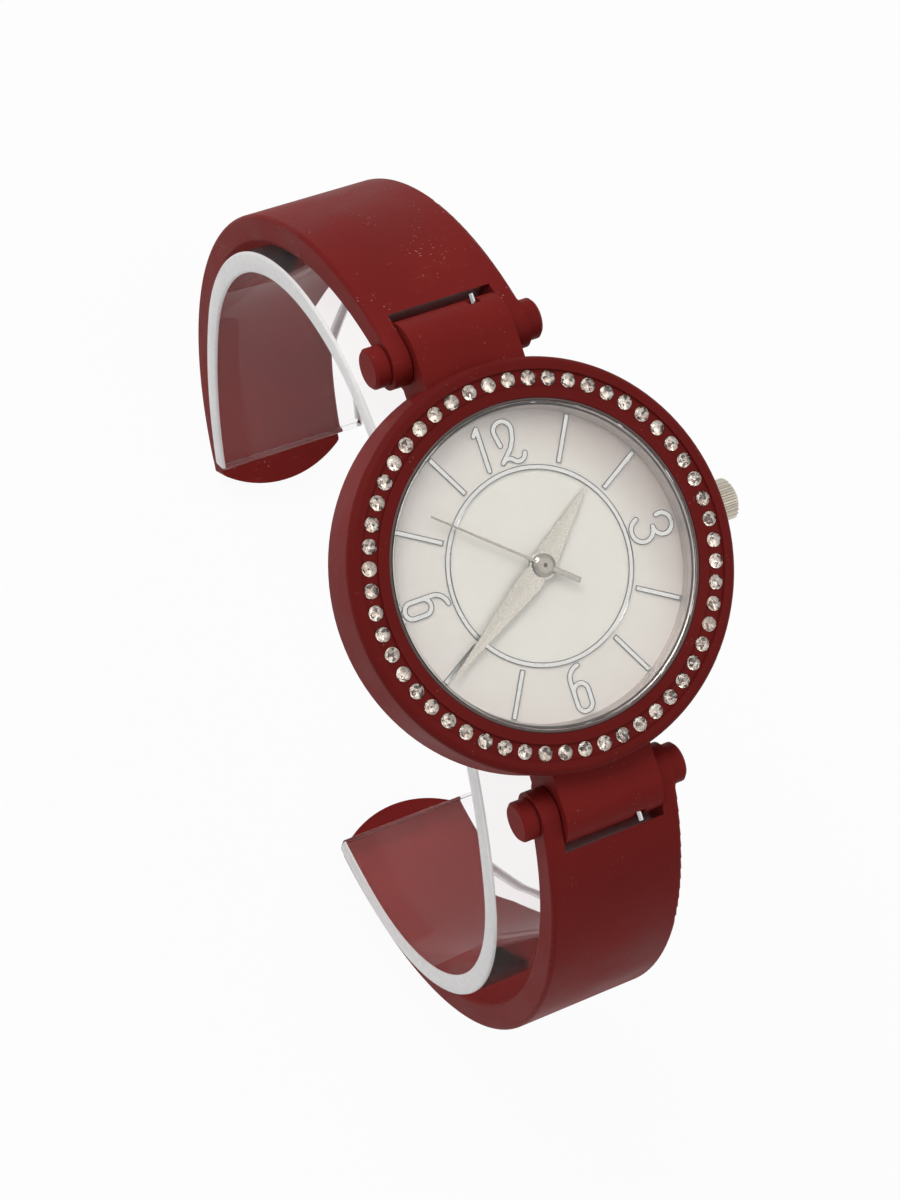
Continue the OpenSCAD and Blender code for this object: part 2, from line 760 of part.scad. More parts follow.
module stem() {
    color([0.7, 0.7, 0.72]) placed() translate([0, 0, crown_z]) {
        difference() {
            x_bar(stem_in_x, crown_end_x - 0.6, stem_r);
            difference() {
                x_bar(stem_groove_x, stem_groove_x + stem_groove_w, stem_r + 1);
                x_bar(stem_groove_x - 1, stem_groove_x + 2, stem_groove_r);
            }
        }
    }
}

module stem_gasket() {
    gasket_x = case_r - 1.7;
    color([0.12, 0.12, 0.12]) placed() translate([0, 0, crown_z]) {
        difference() {
            x_bar(gasket_x, gasket_x + 0.6, tube_in_r - 0.05);
            x_bar(gasket_x - 1, gasket_x + 2, stem_r);
        }
    }
}

module crown_tube() {
    color([0.7, 0.7, 0.72]) placed() translate([0, 0, crown_z]) {
        difference() {
            x_bar(bore_r + 0.2, tube_end_x, tube_r);
            x_bar(bore_r - 1, tube_end_x + 1, tube_in_r);
        }
    }
}

module crown() {
    flute_r = 0.17;
    color([0.82, 0.8, 0.76]) placed() translate([crown_x, 0, crown_z]) {
        difference() {
            rotate([0, 90, 0]) union() {
                linear_extrude(crown_len - 0.3) difference() {
                    circle(d = crown_d);
                    for (i = [0:crown_flutes - 1]) {
                        rotate(i * 360 / crown_flutes) translate([crown_d / 2 + 0.03, 0]) circle(r = flute_r, $fn = 24);
                    }
                }
                translate([0, 0, crown_len - 0.31]) cylinder(r1 = crown_d / 2 - 0.2, r2 = crown_d / 2 - 0.5, h = 0.31);
            }
            x_bar(-1, crown_len - 0.6, stem_r);
            x_bar(-1, 0.35, tube_r + 0.15);
        }
    }
}

module case_back() {
    color([0.72, 0.72, 0.73]) placed() {
        difference() {
            union() {
                rotate_extrude() {
                    translate([0, back_low_z]) square([back_r - 0.5, back_depth]);
                    translate([0, back_low_z + 0.5]) square([back_r, back_depth - 0.5]);
                    translate([back_r - 0.5, back_low_z + 0.5]) circle(r = 0.5, $fn = 48);
                }
                translate([0, 0, case_low_z - 0.5]) cylinder(r = rim_r, h = rim_h + 0.5);
            }
            translate([0, 0, back_in_z]) cylinder(r = back_cup_r, h = 9);
            rotate([0, 0, 225]) translate([back_r - 0.45, -1.5, case_low_z - 0.5]) cube([1, 3, 1]);
        }
    }
}

module back_gasket() {
    color([0.12, 0.12, 0.12]) placed() {
        translate([0, 0, case_low_z]) difference() {
            cylinder(r = back_gasket_out, h = back_gasket_h);
            translate([0, 0, -1]) cylinder(r = back_gasket_in, h = back_gasket_h + 2);
        }
    }
}

// section of an arm, as radius and width
module arm_section() {
    translate([arm_inner_r, -arm_half]) soft_rect(arm_wall, 2 * arm_half, arm_edge_r);
}

// plan of what the rounded tip leaves off, measured from where its arc meets the sides
module tip_waste() {
    far = tip_corner_r + 4;
    reach = (tip_round_r - tip_corner_r) * cos(corner_lean);
    difference() {
        translate([-1, -arm_half - 2]) square([tip_sag + 6, 2 * arm_half + 4]);
        translate([tip_sag - tip_round_r, 0]) circle(r = tip_round_r);
    }
    for (m = [0, 1]) {
        mirror([0, m]) translate([tip_sag - tip_round_r + reach, arm_half - tip_corner_r]) difference() {
            polygon([[0, 0], [far * cos(corner_lean), far * sin(corner_lean)], [far, far], [0, far]]);
            circle(r = tip_corner_r + tip_corner_rest);
        }
    }
}

// arm at 12 o'clock with its hinge axis at zero, before it is swung out
module arm_shape() {
    sideways() translate([-arm_pole * cos(hinge_angle), -arm_pole * sin(hinge_angle), 0]) {
        difference() {
            rotate([0, 0, -tip_angle - 3]) rotate_extrude(angle = hinge_angle + tip_angle + 3, $fn = 240) arm_section();
            rotate([0, 0, -corner_angle]) translate([arm_inner_r - 3, 0, 0]) rotate([-90, 0, 0]) rotate([0, 90, 0])
                linear_extrude(arm_wall + 6) tip_waste();
        }
    }
    x_bar(-arm_half, arm_half, eye_r);
}

// arm at 12 o'clock, with its slot for the knuckle and its pin bores
module arm_part() {
    difference() {
        arm_shape();
        x_bar(-slot_half, slot_half, slot_r);
        x_bar(-arm_half - 1, arm_half + 1, pin_r);
    }
}

module upper_arm() {
    color([0.42, 0.06, 0.07]) placed() translate([0, hinge_y, hinge_z]) rotate([upper_swing, 0, 0]) arm_part();
}

module lower_arm() {
    color([0.42, 0.06, 0.07]) placed() mirror([0, 1, 0]) translate([0, hinge_y, hinge_z])
        rotate([lower_swing, 0, 0]) arm_part();
}

// hinge pin at 12 o'clock
module pin_part() {
    translate([0, hinge_y, hinge_z]) x_bar(-pin_half, pin_half, pin_r);
}

module upper_pin() {
    color([0.7, 0.7, 0.72]) placed() pin_part();
}

module lower_pin() {
    color([0.7, 0.7, 0.72]) placed() mirror([0, 1, 0]) pin_part();
}

// pair of end caps at 12 o'clock
module caps_part() {
    cap_x = arm_half + cap_gap;
    translate([0, hinge_y, hinge_z]) {
        for (s = [0, 1]) {
            mirror([s, 0, 0]) difference() {
                union() {
                    x_bar(cap_x, cap_x + cap_len - 0.25, cap_r);
                    translate([cap_x + cap_len - 0.25, 0, 0]) rotate([0, 90, 0])
                        cylinder(r1 = cap_r, r2 = cap_r - 0.25, h = 0.25);
                }
                x_bar(cap_x - 1, cap_x + cap_bore, pin_r);
            }
        }
    }
}

module upper_caps() {
    color([0.42, 0.06, 0.07]) placed() caps_part();
}

module lower_caps() {
    color([0.42, 0.06, 0.07]) placed() mirror([0, 1, 0]) caps_part();
}

// path of the spring wire: anchor leg, coil, then the leg that meets the arm
function coil_point(t) = [coil_end_x + t * coil_pitch, coil_r * sin(360 * t), coil_r * cos(360 * t)];
anchor_point = [coil_end_x, -anchor_reach, coil_r];
leg_point = [coil_start_x, leg_reach, coil_r];
wire_path = concat([anchor_point], [for (i = [0:coil_turns * coil_steps]) coil_point(i / coil_steps)], [leg_point]);

// ring of points round one step of the wire
function wire_dir(i) = let (a = wire_path[max(i - 1, 0)], b = wire_path[min(i + 1, len(wire_path) - 1)])
    (b - a) / norm(b - a);
function wire_side(i) = let (c = cross(wire_dir(i), [1, 0, 0])) c / norm(c);
function wire_ring(i) = let (s = wire_side(i), u = cross(s, wire_dir(i)))
    [for (k = [0:wire_sides - 1]) wire_path[i] + wire_r * (cos(360 * k / wire_sides) * s + sin(360 * k / wire_sides) * u)];

// spring at 12 o'clock, as one unbroken wire round the pin
module spring_part() {
    n = len(wire_path);
    points = [for (i = [0:n - 1]) each wire_ring(i)];
    near = [for (i = [0:n - 2], k = [0:wire_sides - 1])
        [i * wire_sides + k, i * wire_sides + (k + 1) % wire_sides, (i + 1) * wire_sides + k]];
    away = [for (i = [0:n - 2], k = [0:wire_sides - 1])
        [i * wire_sides + (k + 1) % wire_sides, (i + 1) * wire_sides + (k + 1) % wire_sides, (i + 1) * wire_sides + k]];
    first_cap = [for (k = [0:wire_sides - 1]) wire_sides - 1 - k];
    last_cap = [for (k = [0:wire_sides - 1]) (n - 1) * wire_sides + k];
    translate([0, hinge_y, hinge_z]) polyhedron(points, concat(near, away, [first_cap], [last_cap]));
}

// clear space between neighbouring turns of the spring
echo(spring_turn_gap = coil_pitch - wire_d);

module upper_spring() {
    color([0.8, 0.8, 0.82]) placed() spring_part();
}

module lower_spring() {
    color([0.8, 0.8, 0.82]) placed() mirror([0, 1, 0]) spring_part();
}

// point on an arc at an angle from the upright
function arc_point(cy, cz, r, a) = [cy + r * sin(a), cz + r * cos(a)];

// point of the insert plan at an angle from the upright, a given depth under its outer face
function upper_point(a, depth) = a <= upper_front ? arc_point(front_cy, front_cz, front_r - depth, a) :
    a <= upper_rear ? arc_point(upper_cy, upper_cz, side_r - depth, a) :
    arc_point(upper_cy + (side_r - rear_r) * sin(upper_rear), upper_cz + (side_r - rear_r) * cos(upper_rear),
        rear_r - depth, a);
function lower_point(a, depth) = a <= lower_front ? arc_point(front_cy, front_cz, front_r - depth, -a) :
    a <= lower_rear ? arc_point(lower_cy, lower_cz, side_r - depth, -a) :
    arc_point(lower_cy - (side_r - rear_r) * sin(lower_rear), lower_cz + (side_r - rear_r) * cos(lower_rear),
        rear_r - depth, -a);
function insert_point(a, depth) = a < 0 ? lower_point(-a, depth) : upper_point(a, depth);

// plan of the clear insert: out along its outer face and back along its inner face
module insert_plan() {
    n = 220;
    turn = (upper_end + lower_end) / n;
    outer = [for (i = [0:n]) insert_point(i * turn - lower_end, 0)];
    inner = [for (i = [n:-1:0]) insert_point(i * turn - lower_end, insert_wall)];
    polygon(concat(outer, inner));
}

module display_cuff() {
    color([0.92, 0.94, 0.96, 0.3]) placed() sideways() linear_extrude(2 * insert_half, center = true) insert_plan();
}

case_body();
bezel_stones();
glass();
glass_gasket();
flange_ring();
dial();
dial_circle();
hour_bars();
numerals();
hour_hand();
minute_hand();
second_hand();
seconds_arbor();
cannon_pinion();
hour_wheel();
movement_holder();
main_plate();
train_bridge();
movement_screws();
circuit_board();
motor_coil();
battery();
battery_clip();
setting_lever();
stem();
stem_gasket();
crown_tube();
crown();
case_back();
back_gasket();
upper_arm();
lower_arm();
upper_pin();
lower_pin();
upper_caps();
lower_caps();
upper_spring();
lower_spring();
display_cuff();
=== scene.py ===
"""Looks of a bangle watch: lacquered cuff arms, a ring of stones, a pearly dial and a clear display strip.

Pieces are drawn in millimetres from the middle of the dial, level with the tops of the stones, and are then
moved into the shared frame, in metres.
"""

import logging
import math
from dataclasses import dataclass
from enum import Enum
from typing import Optional, Sequence

import bmesh
import bpy
from mathutils import Matrix, Vector


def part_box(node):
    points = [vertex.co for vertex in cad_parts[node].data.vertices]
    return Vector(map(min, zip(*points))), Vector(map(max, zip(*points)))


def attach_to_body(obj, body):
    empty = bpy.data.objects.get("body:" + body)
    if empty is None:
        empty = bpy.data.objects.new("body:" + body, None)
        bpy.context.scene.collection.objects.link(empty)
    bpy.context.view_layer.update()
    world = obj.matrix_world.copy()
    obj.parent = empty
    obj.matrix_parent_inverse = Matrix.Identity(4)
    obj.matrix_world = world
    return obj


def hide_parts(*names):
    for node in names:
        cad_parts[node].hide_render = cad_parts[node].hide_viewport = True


LOG = logging.getLogger("bangle_watch")

Colour = tuple[float, float, float]
Point = tuple[float, float, float]
Span = tuple[float, float]
Material = bpy.types.Material
Mesh = bmesh.types.BMesh
Piece = bpy.types.Object
Socket = bpy.types.NodeSocket
Tree = bpy.types.NodeTree

# Metres in a millimetre
MM = 0.001
# Shift from the middle of the dial to the frame that the watch stands in, in millimetres
SHIFT = Vector((-1.25, 2.28106, 64.85763))
# Radius of the dial's raised circle, in millimetres
CIRCLE_R = 9.01

# Parts of a noise's range that are stretched over the full range of a colour or a gloss
CLOUD_SPAN = (0.3, 0.7)
COLOUR_SPAN = (0.25, 0.75)
GLOSS_SPAN = (0.2, 0.8)

# Least upward part of a normal of a face that counts as a top
UP_FACING = 0.9

ORIGIN = Vector((0.0, 0.0, 0.0))
UPWARD = (0.0, 0.0, 1.0)
EVEN = (1.0, 1.0, 1.0)


class Body(str, Enum):
    """Bodies that the pieces ride on."""

    HEAD = "head"
    MINUTES = "minutes"
    HOURS = "hours"
    SECONDS = "seconds"
    CUFF_STRIP = "cuff_strip"


# ---- mesh helpers


def to_frame(bm: Mesh) -> None:
    """Brings a mesh drawn in millimetres from the dial's middle into the shared frame in metres."""
    matrix = Matrix.Diagonal((MM, MM, MM, 1.0)) @ Matrix.Translation(SHIFT)
    bmesh.ops.transform(bm, matrix=matrix, verts=bm.verts)


def set_hand(bm: Mesh, turn: float, height: float) -> None:
    """Turns a hand that was drawn toward 12 o'clock, lifts it and brings it into the shared frame.

    Args:
        bm: Mesh of the hand, moved in place.
        turn: Clockwise turn in degrees.
        height: Height of the hand's underside over the middle of the dial's frame, in millimetres.
    """
    matrix = Matrix.Rotation(math.radians(-turn), 4, "Z") @ Matrix.Translation((0, 0, height))
    bmesh.ops.transform(bm, matrix=matrix, verts=bm.verts)
    to_frame(bm)


def soften(bm: Mesh, made: Sequence[bmesh.types.BMVert], above: float, width: float, segments: int) -> None:
    """Rounds the edges of newly made vertices that lie above a height."""
    edges = [e for e in {e for v in made for e in v.link_edges} if all(v.co.z > above for v in e.verts)]
    bmesh.ops.bevel(bm, geom=edges, offset=width, segments=segments, profile=0.5, affect="EDGES", material=-1)


def local_box(node: str) -> tuple[Vector, Vector]:
    """Gives a node's lowest and highest corner, in millimetres from the middle of the dial."""
    low, high = (Vector(corner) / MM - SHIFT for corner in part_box(node))
    return low, high


def make_piece(bm: Mesh, name: str, finishes: Sequence[Material], smooth: Optional[float] = 30.0) -> Piece:
    """Turns a mesh into a piece of the watch.

    Args:
        bm: Finished mesh in the shared frame; it is freed.
        name: Name of the piece.
        finishes: Materials in the order of the faces' material numbers.
        smooth: Angle in degrees under which faces shade smoothly, or None for flat facets.

    Returns:
        The new object, linked to the scene.
    """
    bmesh.ops.recalc_face_normals(bm, faces=bm.faces)
    if smooth is not None:
        limit = math.radians(smooth)
        for face in bm.faces:
            face.smooth = True
        for edge in bm.edges:
            edge.smooth = len(edge.link_faces) == 2 and edge.calc_face_angle(0.0) < limit
    mesh = bpy.data.meshes.new(name)
    bm.to_mesh(mesh)
    bm.free()
    for finish in finishes:
        mesh.materials.append(finish)
    piece = bpy.data.objects.new(name, mesh)
    bpy.context.scene.collection.objects.link(piece)
    return piece


def attach(piece: Piece, body: Body, slot: str, *nodes: str) -> Piece:
    """Lets a piece ride on a body and stand for nodes.

    Args:
        piece: The piece.
        body: Body that carries it.
        slot: Material slot of the record; not used.
        *nodes: Nodes of the solid model that it stands for.

    Returns:
        The piece.
    """
    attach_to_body(piece, body.value)
    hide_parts(*nodes)
    return piece


# ---- node helpers


def set_inputs(node: bpy.types.Node, **values: object) -> None:
    """Sets inputs of a node, named with underscores for spaces."""
    for key, value in values.items():
        node.inputs[key.replace("_", " ")].default_value = value


def add_node(tree: Tree, kind: str, **values: object) -> bpy.types.Node:
    """Adds a node.

    Args:
        tree: Node tree to add to.
        kind: Kind of the shader node.
        **values: Names of inputs, with underscores for spaces, and their values.

    Returns:
        The node.
    """
    node = tree.nodes.new("ShaderNode" + kind)
    set_inputs(node, **values)
    return node


def add_maths(tree: Tree, kind: str, a: Socket, b: Socket | float) -> Socket:
    """Joins two values by one sum.

    Args:
        tree: Node tree to add to.
        kind: Name of the operation, such as MULTIPLY.
        a: First value.
        b: Second value or number.

    Returns:
        The result.
    """
    node = add_node(tree, "Math")
    node.operation = kind
    tree.links.new(a, node.inputs[0])
    if isinstance(b, float):
        node.inputs[1].default_value = b
    else:
        tree.links.new(b, node.inputs[1])
    return node.outputs["Value"]


def add_range(tree: Tree, value: Socket, read: Span, given: Span, kind: str = "LINEAR") -> Socket:
    """Maps a range of a value onto another, clamped.

    Args:
        tree: Node tree to add to.
        value: Value to map.
        read: Range that is read.
        given: Results at its ends.
        kind: Name of the interpolation.

    Returns:
        The mapped value.
    """
    node = add_node(tree, "MapRange", From_Min=read[0], From_Max=read[1], To_Min=given[0], To_Max=given[1])
    node.interpolation_type = kind
    tree.links.new(value, node.inputs["Value"])
    return node.outputs["Result"]


def add_dot(tree: Tree, point: Socket, way: Sequence[float]) -> Socket:
    """Measures a point along a direction.

    Args:
        tree: Node tree to add to.
        point: The point.
        way: Direction of length one.

    Returns:
        The distance from the origin along the direction.
    """
    node = add_node(tree, "VectorMath")
    node.operation = "DOT_PRODUCT"
    node.inputs[1].default_value = way
    tree.links.new(point, node.inputs[0])
    return node.outputs["Value"]


class Wiring:
    """A node material while it is wired together."""

    def __init__(self, name: str) -> None:
        """Starts a material with one principled shader.

        Args:
            name: Name of the material.
        """
        self.material = bpy.data.materials.new(name)
        self.material.use_nodes = True
        self.tree = self.material.node_tree
        self.tree.nodes.clear()
        self.output = add_node(self.tree, "OutputMaterial")
        self.shader = add_node(self.tree, "BsdfPrincipled")
        self.link(self.shader.outputs["BSDF"], self.output.inputs["Surface"])
        self.object_point = add_node(self.tree, "TexCoord").outputs["Object"]

    def link(self, start: Socket, end: Socket) -> None:
        """Joins an output to an input."""
        self.tree.links.new(start, end)

    def values(self, **settings: float) -> None:
        """Sets inputs of the shader."""
        set_inputs(self.shader, **settings)

    def drive(self, **sources: Socket) -> None:
        """Links values to inputs of the shader."""
        for key, source in sources.items():
            self.link(source, self.shader.inputs[key.replace("_", " ")])

    def placed(self, centre: Vector = ORIGIN, stretch: Point = EVEN, turn: Point = (0.0, 0.0, 0.0)) -> Socket:
        """Adds a Mapping node.

        Args:
            centre: Point in the frame, in metres, that becomes the pattern's origin.
            stretch: Scale of the pattern along each axis.
            turn: Turn of the pattern, in radians.

        Returns:
            The mapped point.
        """
        matrix = Matrix.Rotation(turn[2], 3, "Z") @ Matrix.Rotation(turn[1], 3, "Y") @ Matrix.Rotation(turn[0], 3, "X")
        scaled = Vector([c * s for c, s in zip(centre, stretch)])
        node = add_node(self.tree, "Mapping", Scale=stretch, Rotation=turn, Location=-(matrix @ scaled))
        self.link(self.object_point, node.inputs["Vector"])
        return node.outputs["Vector"]

    def noise(self, scale: float, detail: float = 3.0, roughness: float = 0.5, at: Optional[Socket] = None) -> Socket:
        """Adds a noise pattern.

        Args:
            scale: Number of waves per metre.
            detail: Number of finer layers.
            roughness: Strength of the finer layers.
            at: Point to read it at, or None for the object's own.

        Returns:
            The pattern's value, from 0 to 1.
        """
        node = add_node(self.tree, "TexNoise", Scale=scale, Detail=detail, Roughness=roughness)
        self.link(at or self.object_point, node.inputs["Vector"])
        return node.outputs["Fac"]

    def cells(self, scale: float, output: str) -> Socket:
        """Adds a pattern of cells.

        Args:
            scale: Number of cells per metre.
            output: Distance for the distance from a cell's middle, or Color for one random colour a cell.

        Returns:
            The output named.
        """
        node = add_node(self.tree, "TexVoronoi", Scale=scale)
        self.link(self.object_point, node.inputs["Vector"])
        return node.outputs[output]

    def spread(self, value: Socket, read: Span, given: Span = (0.0, 1.0)) -> Socket:
        """Maps a range of a value onto another, clamped."""
        return add_range(self.tree, value, read, given)

    def maths(self, kind: str, a: Socket, b: Socket | float) -> Socket:
        """Joins two values by one sum."""
        return add_maths(self.tree, kind, a, b)

    def blend(self, value: Socket, first: Colour | Socket, second: Colour | Socket) -> Socket:
        """Mixes two colours by a value.

        Args:
            value: 0 for the first colour, 1 for the second.
            first: Colour or colour output.
            second: Colour or colour output.

        Returns:
            The mixed colour.
        """
        node = add_node(self.tree, "Mix")
        node.data_type = "RGBA"
        self.link(value, node.inputs["Factor"])
        # Inputs 6 and 7 and output 2 are the colour sockets of the Mix node
        for socket, colour in ((node.inputs[6], first), (node.inputs[7], second)):
            if isinstance(colour, tuple):
                socket.default_value = (*colour, 1.0)
            else:
                self.link(colour, socket)
        return node.outputs[2]

    def relief(self, height: Socket, depth: float, after: Optional[Socket] = None) -> Socket:
        """Adds a bump.

        Args:
            height: Value that gives the height, from 0 to 1.
            depth: Height of the bump in metres.
            after: Normal of an earlier bump.

        Returns:
            The bumped normal.
        """
        node = add_node(self.tree, "Bump", Distance=depth)
        self.link(height, node.inputs["Height"])
        if after is not None:
            self.link(after, node.inputs["Normal"])
        return node.outputs["Normal"]

    def radius_from(self, centre: Vector) -> Socket:
        """Gives the distance from an upright axis.

        Args:
            centre: Point on the axis, in metres.

        Returns:
            The distance in metres.
        """
        flat = self.placed(centre, (1.0, 1.0, 0.0))
        node = add_node(self.tree, "VectorMath")
        node.operation = "LENGTH"
        self.link(flat, node.inputs[0])
        return node.outputs["Value"]

    def along(self, centre: Vector, way: Point) -> Socket:
        """Gives the distance in metres from a point along a direction of length one."""
        return add_dot(self.tree, self.placed(centre), way)

    def let_shadows_through(self) -> None:
        """Makes the surface clear to shadow rays, so that light reaches what lies behind."""
        path = add_node(self.tree, "LightPath")
        clear = add_node(self.tree, "BsdfTransparent")
        self.mix_surface(path.outputs["Is Shadow Ray"], clear.outputs["BSDF"])

    def mix_surface(self, value: Socket, other: Socket) -> None:
        """Mixes the shader with another one at the output.

        Args:
            value: 0 for the shader, 1 for the other one.
            other: Output of the other shader.
        """
        mix = add_node(self.tree, "MixShader")
        self.link(value, mix.inputs["Fac"])
        self.link(self.shader.outputs["BSDF"], mix.inputs[1])
        self.link(other, mix.inputs[2])
        self.link(mix.outputs["Shader"], self.output.inputs["Surface"])


# ---- finishes
# Scales of patterns are in waves or cells per metre, and depths of reliefs in metres


@dataclass(frozen=True)
class Finish:
    """A material that is made from its sizes and colours."""

    name: str

    def wire(self, w: Wiring) -> None:
        """Wires the nodes; each finish has its own way."""
        raise NotImplementedError

    def build(self) -> Material:
        """Makes the material.

        Returns:
            The material.
        """
        w = Wiring(self.name)
        self.wire(w)
        return w.material


@dataclass(frozen=True)
class Lacquer(Finish):
    """Satin burgundy lacquer: fine orange peel, dust specks, hairline scuffs and painted shade on its front."""

    dust_amount: float
    front: float = 0.0
    front_shade_z: Span = (0.0637, 0.0645)
    base: Colour = (0.198, 0.0158, 0.0138)
    deep: Colour = (0.162, 0.0116, 0.0102)
    shadow: Colour = (0.05, 0.004, 0.0035)
    dust: Colour = (0.56, 0.34, 0.28)
    cloud_scale: float = 90.0
    dot_scale: float = 2300.0
    dot_span: Span = (0.10, 0.24)
    patch_scale: float = 420.0
    patch_span: Span = (0.55, 0.68)
    hair_scale: float = 420.0
    hair_stretch: Point = (1.0, 12.0, 12.0)
    hair_turn: Point = (0.3, 0.2, 0.5)
    hair_span: Span = (0.70, 0.76)
    hair_share: float = 0.16
    peel_scale: float = 2600.0
    peel_depth: float = 0.000006
    wave_scale: float = 420.0
    wave_depth: float = 0.000012
    gloss_scale: float = 180.0
    rough: Span = (0.45, 0.57)
    rough_marks: float = 0.3

    def marks(self, w: Wiring) -> Socket:
        """Scatters the dust and the scuffs.

        Args:
            w: The material's wiring.

        Returns:
            Strength of the marks, from 0 to 1.
        """
        dots = w.spread(w.cells(self.dot_scale, "Distance"), self.dot_span, (1.0, 0.0))
        patches = w.spread(w.noise(self.patch_scale, 3.0, 0.6), self.patch_span)
        specks = w.maths("MULTIPLY", w.maths("MULTIPLY", dots, patches), self.dust_amount)
        hair_at = w.placed(stretch=self.hair_stretch, turn=self.hair_turn)
        hairs = w.noise(self.hair_scale, 2.0, 0.5, hair_at)
        return w.maths("MAXIMUM", specks, w.spread(hairs, self.hair_span, (0.0, self.hair_share * self.dust_amount)))

    def wire(self, w: Wiring) -> None:
        """Wires the lacquer.

        Args:
            w: The material's wiring.
        """
        w.values(IOR=1.14, Specular_IOR_Level=0.5)
        colour = w.blend(w.spread(w.noise(self.cloud_scale, 4.0, 0.55), CLOUD_SPAN), self.deep, self.base)
        # Painted shade: near the top, on the front of the case, the lacquer darkens toward the shadow colour.
        front = w.spread(w.along(ORIGIN, UPWARD), self.front_shade_z, (0.0, self.front))
        colour = w.blend(front, colour, self.shadow)
        marks = self.marks(w)
        waves = w.relief(w.noise(self.wave_scale, 2.0, 0.5), self.wave_depth)
        gloss = w.spread(w.noise(self.gloss_scale, 3.0), CLOUD_SPAN, self.rough)
        w.drive(
            Base_Color=w.blend(marks, colour, self.dust),
            Normal=w.relief(w.noise(self.peel_scale, 2.0, 0.5), self.peel_depth, waves),
            Roughness=w.maths("ADD", gloss, w.maths("MULTIPLY", marks, self.rough_marks)),
        )


@dataclass(frozen=True)
class Metal(Finish):
    """Plated or plain metal with fine marks of its making."""

    base: Colour
    dark: Colour
    rough: float
    grain: float
    grain_stretch: Point = EVEN
    depth: float = 0.000001
    rough_spread: Span = (0.75, 1.3)

    def wire(self, w: Wiring) -> None:
        """Wires the metal.

        Args:
            w: The material's wiring.
        """
        w.values(Metallic=1.0)
        marks = w.noise(self.grain, 3.0, 0.6, w.placed(stretch=self.grain_stretch))
        low, high = self.rough_spread
        w.drive(
            Base_Color=w.blend(w.spread(marks, COLOUR_SPAN), self.dark, self.base),
            Roughness=w.spread(marks, GLOSS_SPAN, (self.rough * low, self.rough * high)),
            Normal=w.relief(marks, self.depth),
        )


@dataclass(frozen=True)
class Moulded(Finish):
    """Dull moulded stuff: plastic, rubber or board."""

    base: Colour
    dark: Colour
    rough: float
    grain: float = 3000.0
    depth: float = 0.000004
    rough_spread: float = 0.08

    def wire(self, w: Wiring) -> None:
        """Wires the stuff.

        Args:
            w: The material's wiring.
        """
        w.values(Specular_IOR_Level=0.4)
        grain = w.noise(self.grain, 3.0, 0.6, w.placed())
        w.drive(
            Base_Color=w.blend(w.spread(grain, COLOUR_SPAN), self.dark, self.base),
            Roughness=w.spread(grain, GLOSS_SPAN, (self.rough - self.rough_spread, self.rough + self.rough_spread)),
            Normal=w.relief(grain, self.depth),
        )


@dataclass(frozen=True)
class CutFoil(Finish):
    """Mirror foil behind a cut stone, in bright and mid cells, with dark cells as painted reflections."""

    bright: Colour = (0.97, 0.93, 0.87)
    mid: Colour = (0.66, 0.56, 0.48)
    dark: Colour = (0.11, 0.07, 0.055)
    size: float = 3900.0
    mid_span: Span = (0.30, 0.80)
    dark_span: Span = (0.73, 0.78)
    rough: Span = (0.08, 0.3)

    def wire(self, w: Wiring) -> None:
        """Wires the foil.

        Args:
            w: The material's wiring.
        """
        w.values(Metallic=0.7)
        split = add_node(w.tree, "SeparateXYZ")
        w.link(w.cells(self.size, "Color"), split.inputs["Vector"])
        colour = w.blend(w.spread(split.outputs["X"], self.mid_span), self.bright, self.mid)
        w.drive(
            # Painted reflection: the dark cells stand in for the dark surroundings that the stone mirrors.
            Base_Color=w.blend(w.spread(split.outputs["Y"], self.dark_span), colour, self.dark),
            Roughness=w.spread(split.outputs["Z"], (0.0, 1.0), self.rough),
        )


@dataclass(frozen=True)
class PearlLacquer(Finish):
    """Pearly silver white of the dial, warmer and greyer outside the raised circle, with painted shade toward the rim
    and a deeper painted shadow near the rim toward 2 o'clock.

    Its spans are distances in metres: those of outer and of the rim shade from the raised circle, and those of shade
    from the dial's middle.
    """

    centre: Vector
    circle_r: float
    inner: Colour = (0.580, 0.553, 0.492)
    outer: Colour = (0.558, 0.524, 0.468)
    outer_span: Span = (-0.0002, 0.0008)
    edge: Colour = (0.530, 0.478, 0.440)
    rim_shade_span: Span = (0.001, 0.0055)
    rim_shade_amount: float = 0.7
    shade: Colour = (0.29, 0.228, 0.20)
    shade_way: Point = (0.85, 0.53, 0.0)
    shade_span: Span = (0.0045, 0.0125)
    shade_reach: Span = (0.0092, 0.0142)
    shade_amount: float = 0.95
    pearl: Colour = (0.80, 0.79, 0.76)
    pearl_scale: float = 5200.0
    pearl_span: Span = (0.45, 0.75)
    pearl_amount: float = 0.12
    pearl_depth: float = 0.0000012
    gloss_scale: float = 700.0
    rough: Span = (0.34, 0.44)

    def wire(self, w: Wiring) -> None:
        """Wires the dial's lacquer.

        Args:
            w: The material's wiring.
        """
        w.values(Metallic=0.12, Specular_IOR_Level=0.4)
        reach = w.radius_from(self.centre)
        outer, edge = (tuple(self.circle_r + d for d in span) for span in (self.outer_span, self.rim_shade_span))
        colour = w.blend(w.spread(reach, outer), self.inner, self.outer)
        # Painted shade: the dial darkens toward the rim, from 1 to 5.5 mm outside the raised circle.
        colour = w.blend(w.spread(reach, edge, (0.0, self.rim_shade_amount)), colour, self.edge)
        # Painted shadow: darker still near the rim toward 2 o'clock.
        across = w.spread(w.along(self.centre, self.shade_way), self.shade_span)
        far = w.spread(reach, self.shade_reach, (0.0, self.shade_amount))
        colour = w.blend(w.maths("MULTIPLY", across, far), colour, self.shade)
        pearls = w.noise(self.pearl_scale, 2.0, 0.6)
        w.drive(
            Base_Color=w.blend(w.spread(pearls, self.pearl_span, (0.0, self.pearl_amount)), colour, self.pearl),
            Roughness=w.spread(w.noise(self.gloss_scale, 3.0), CLOUD_SPAN, self.rough),
            Normal=w.relief(pearls, self.pearl_depth),
        )


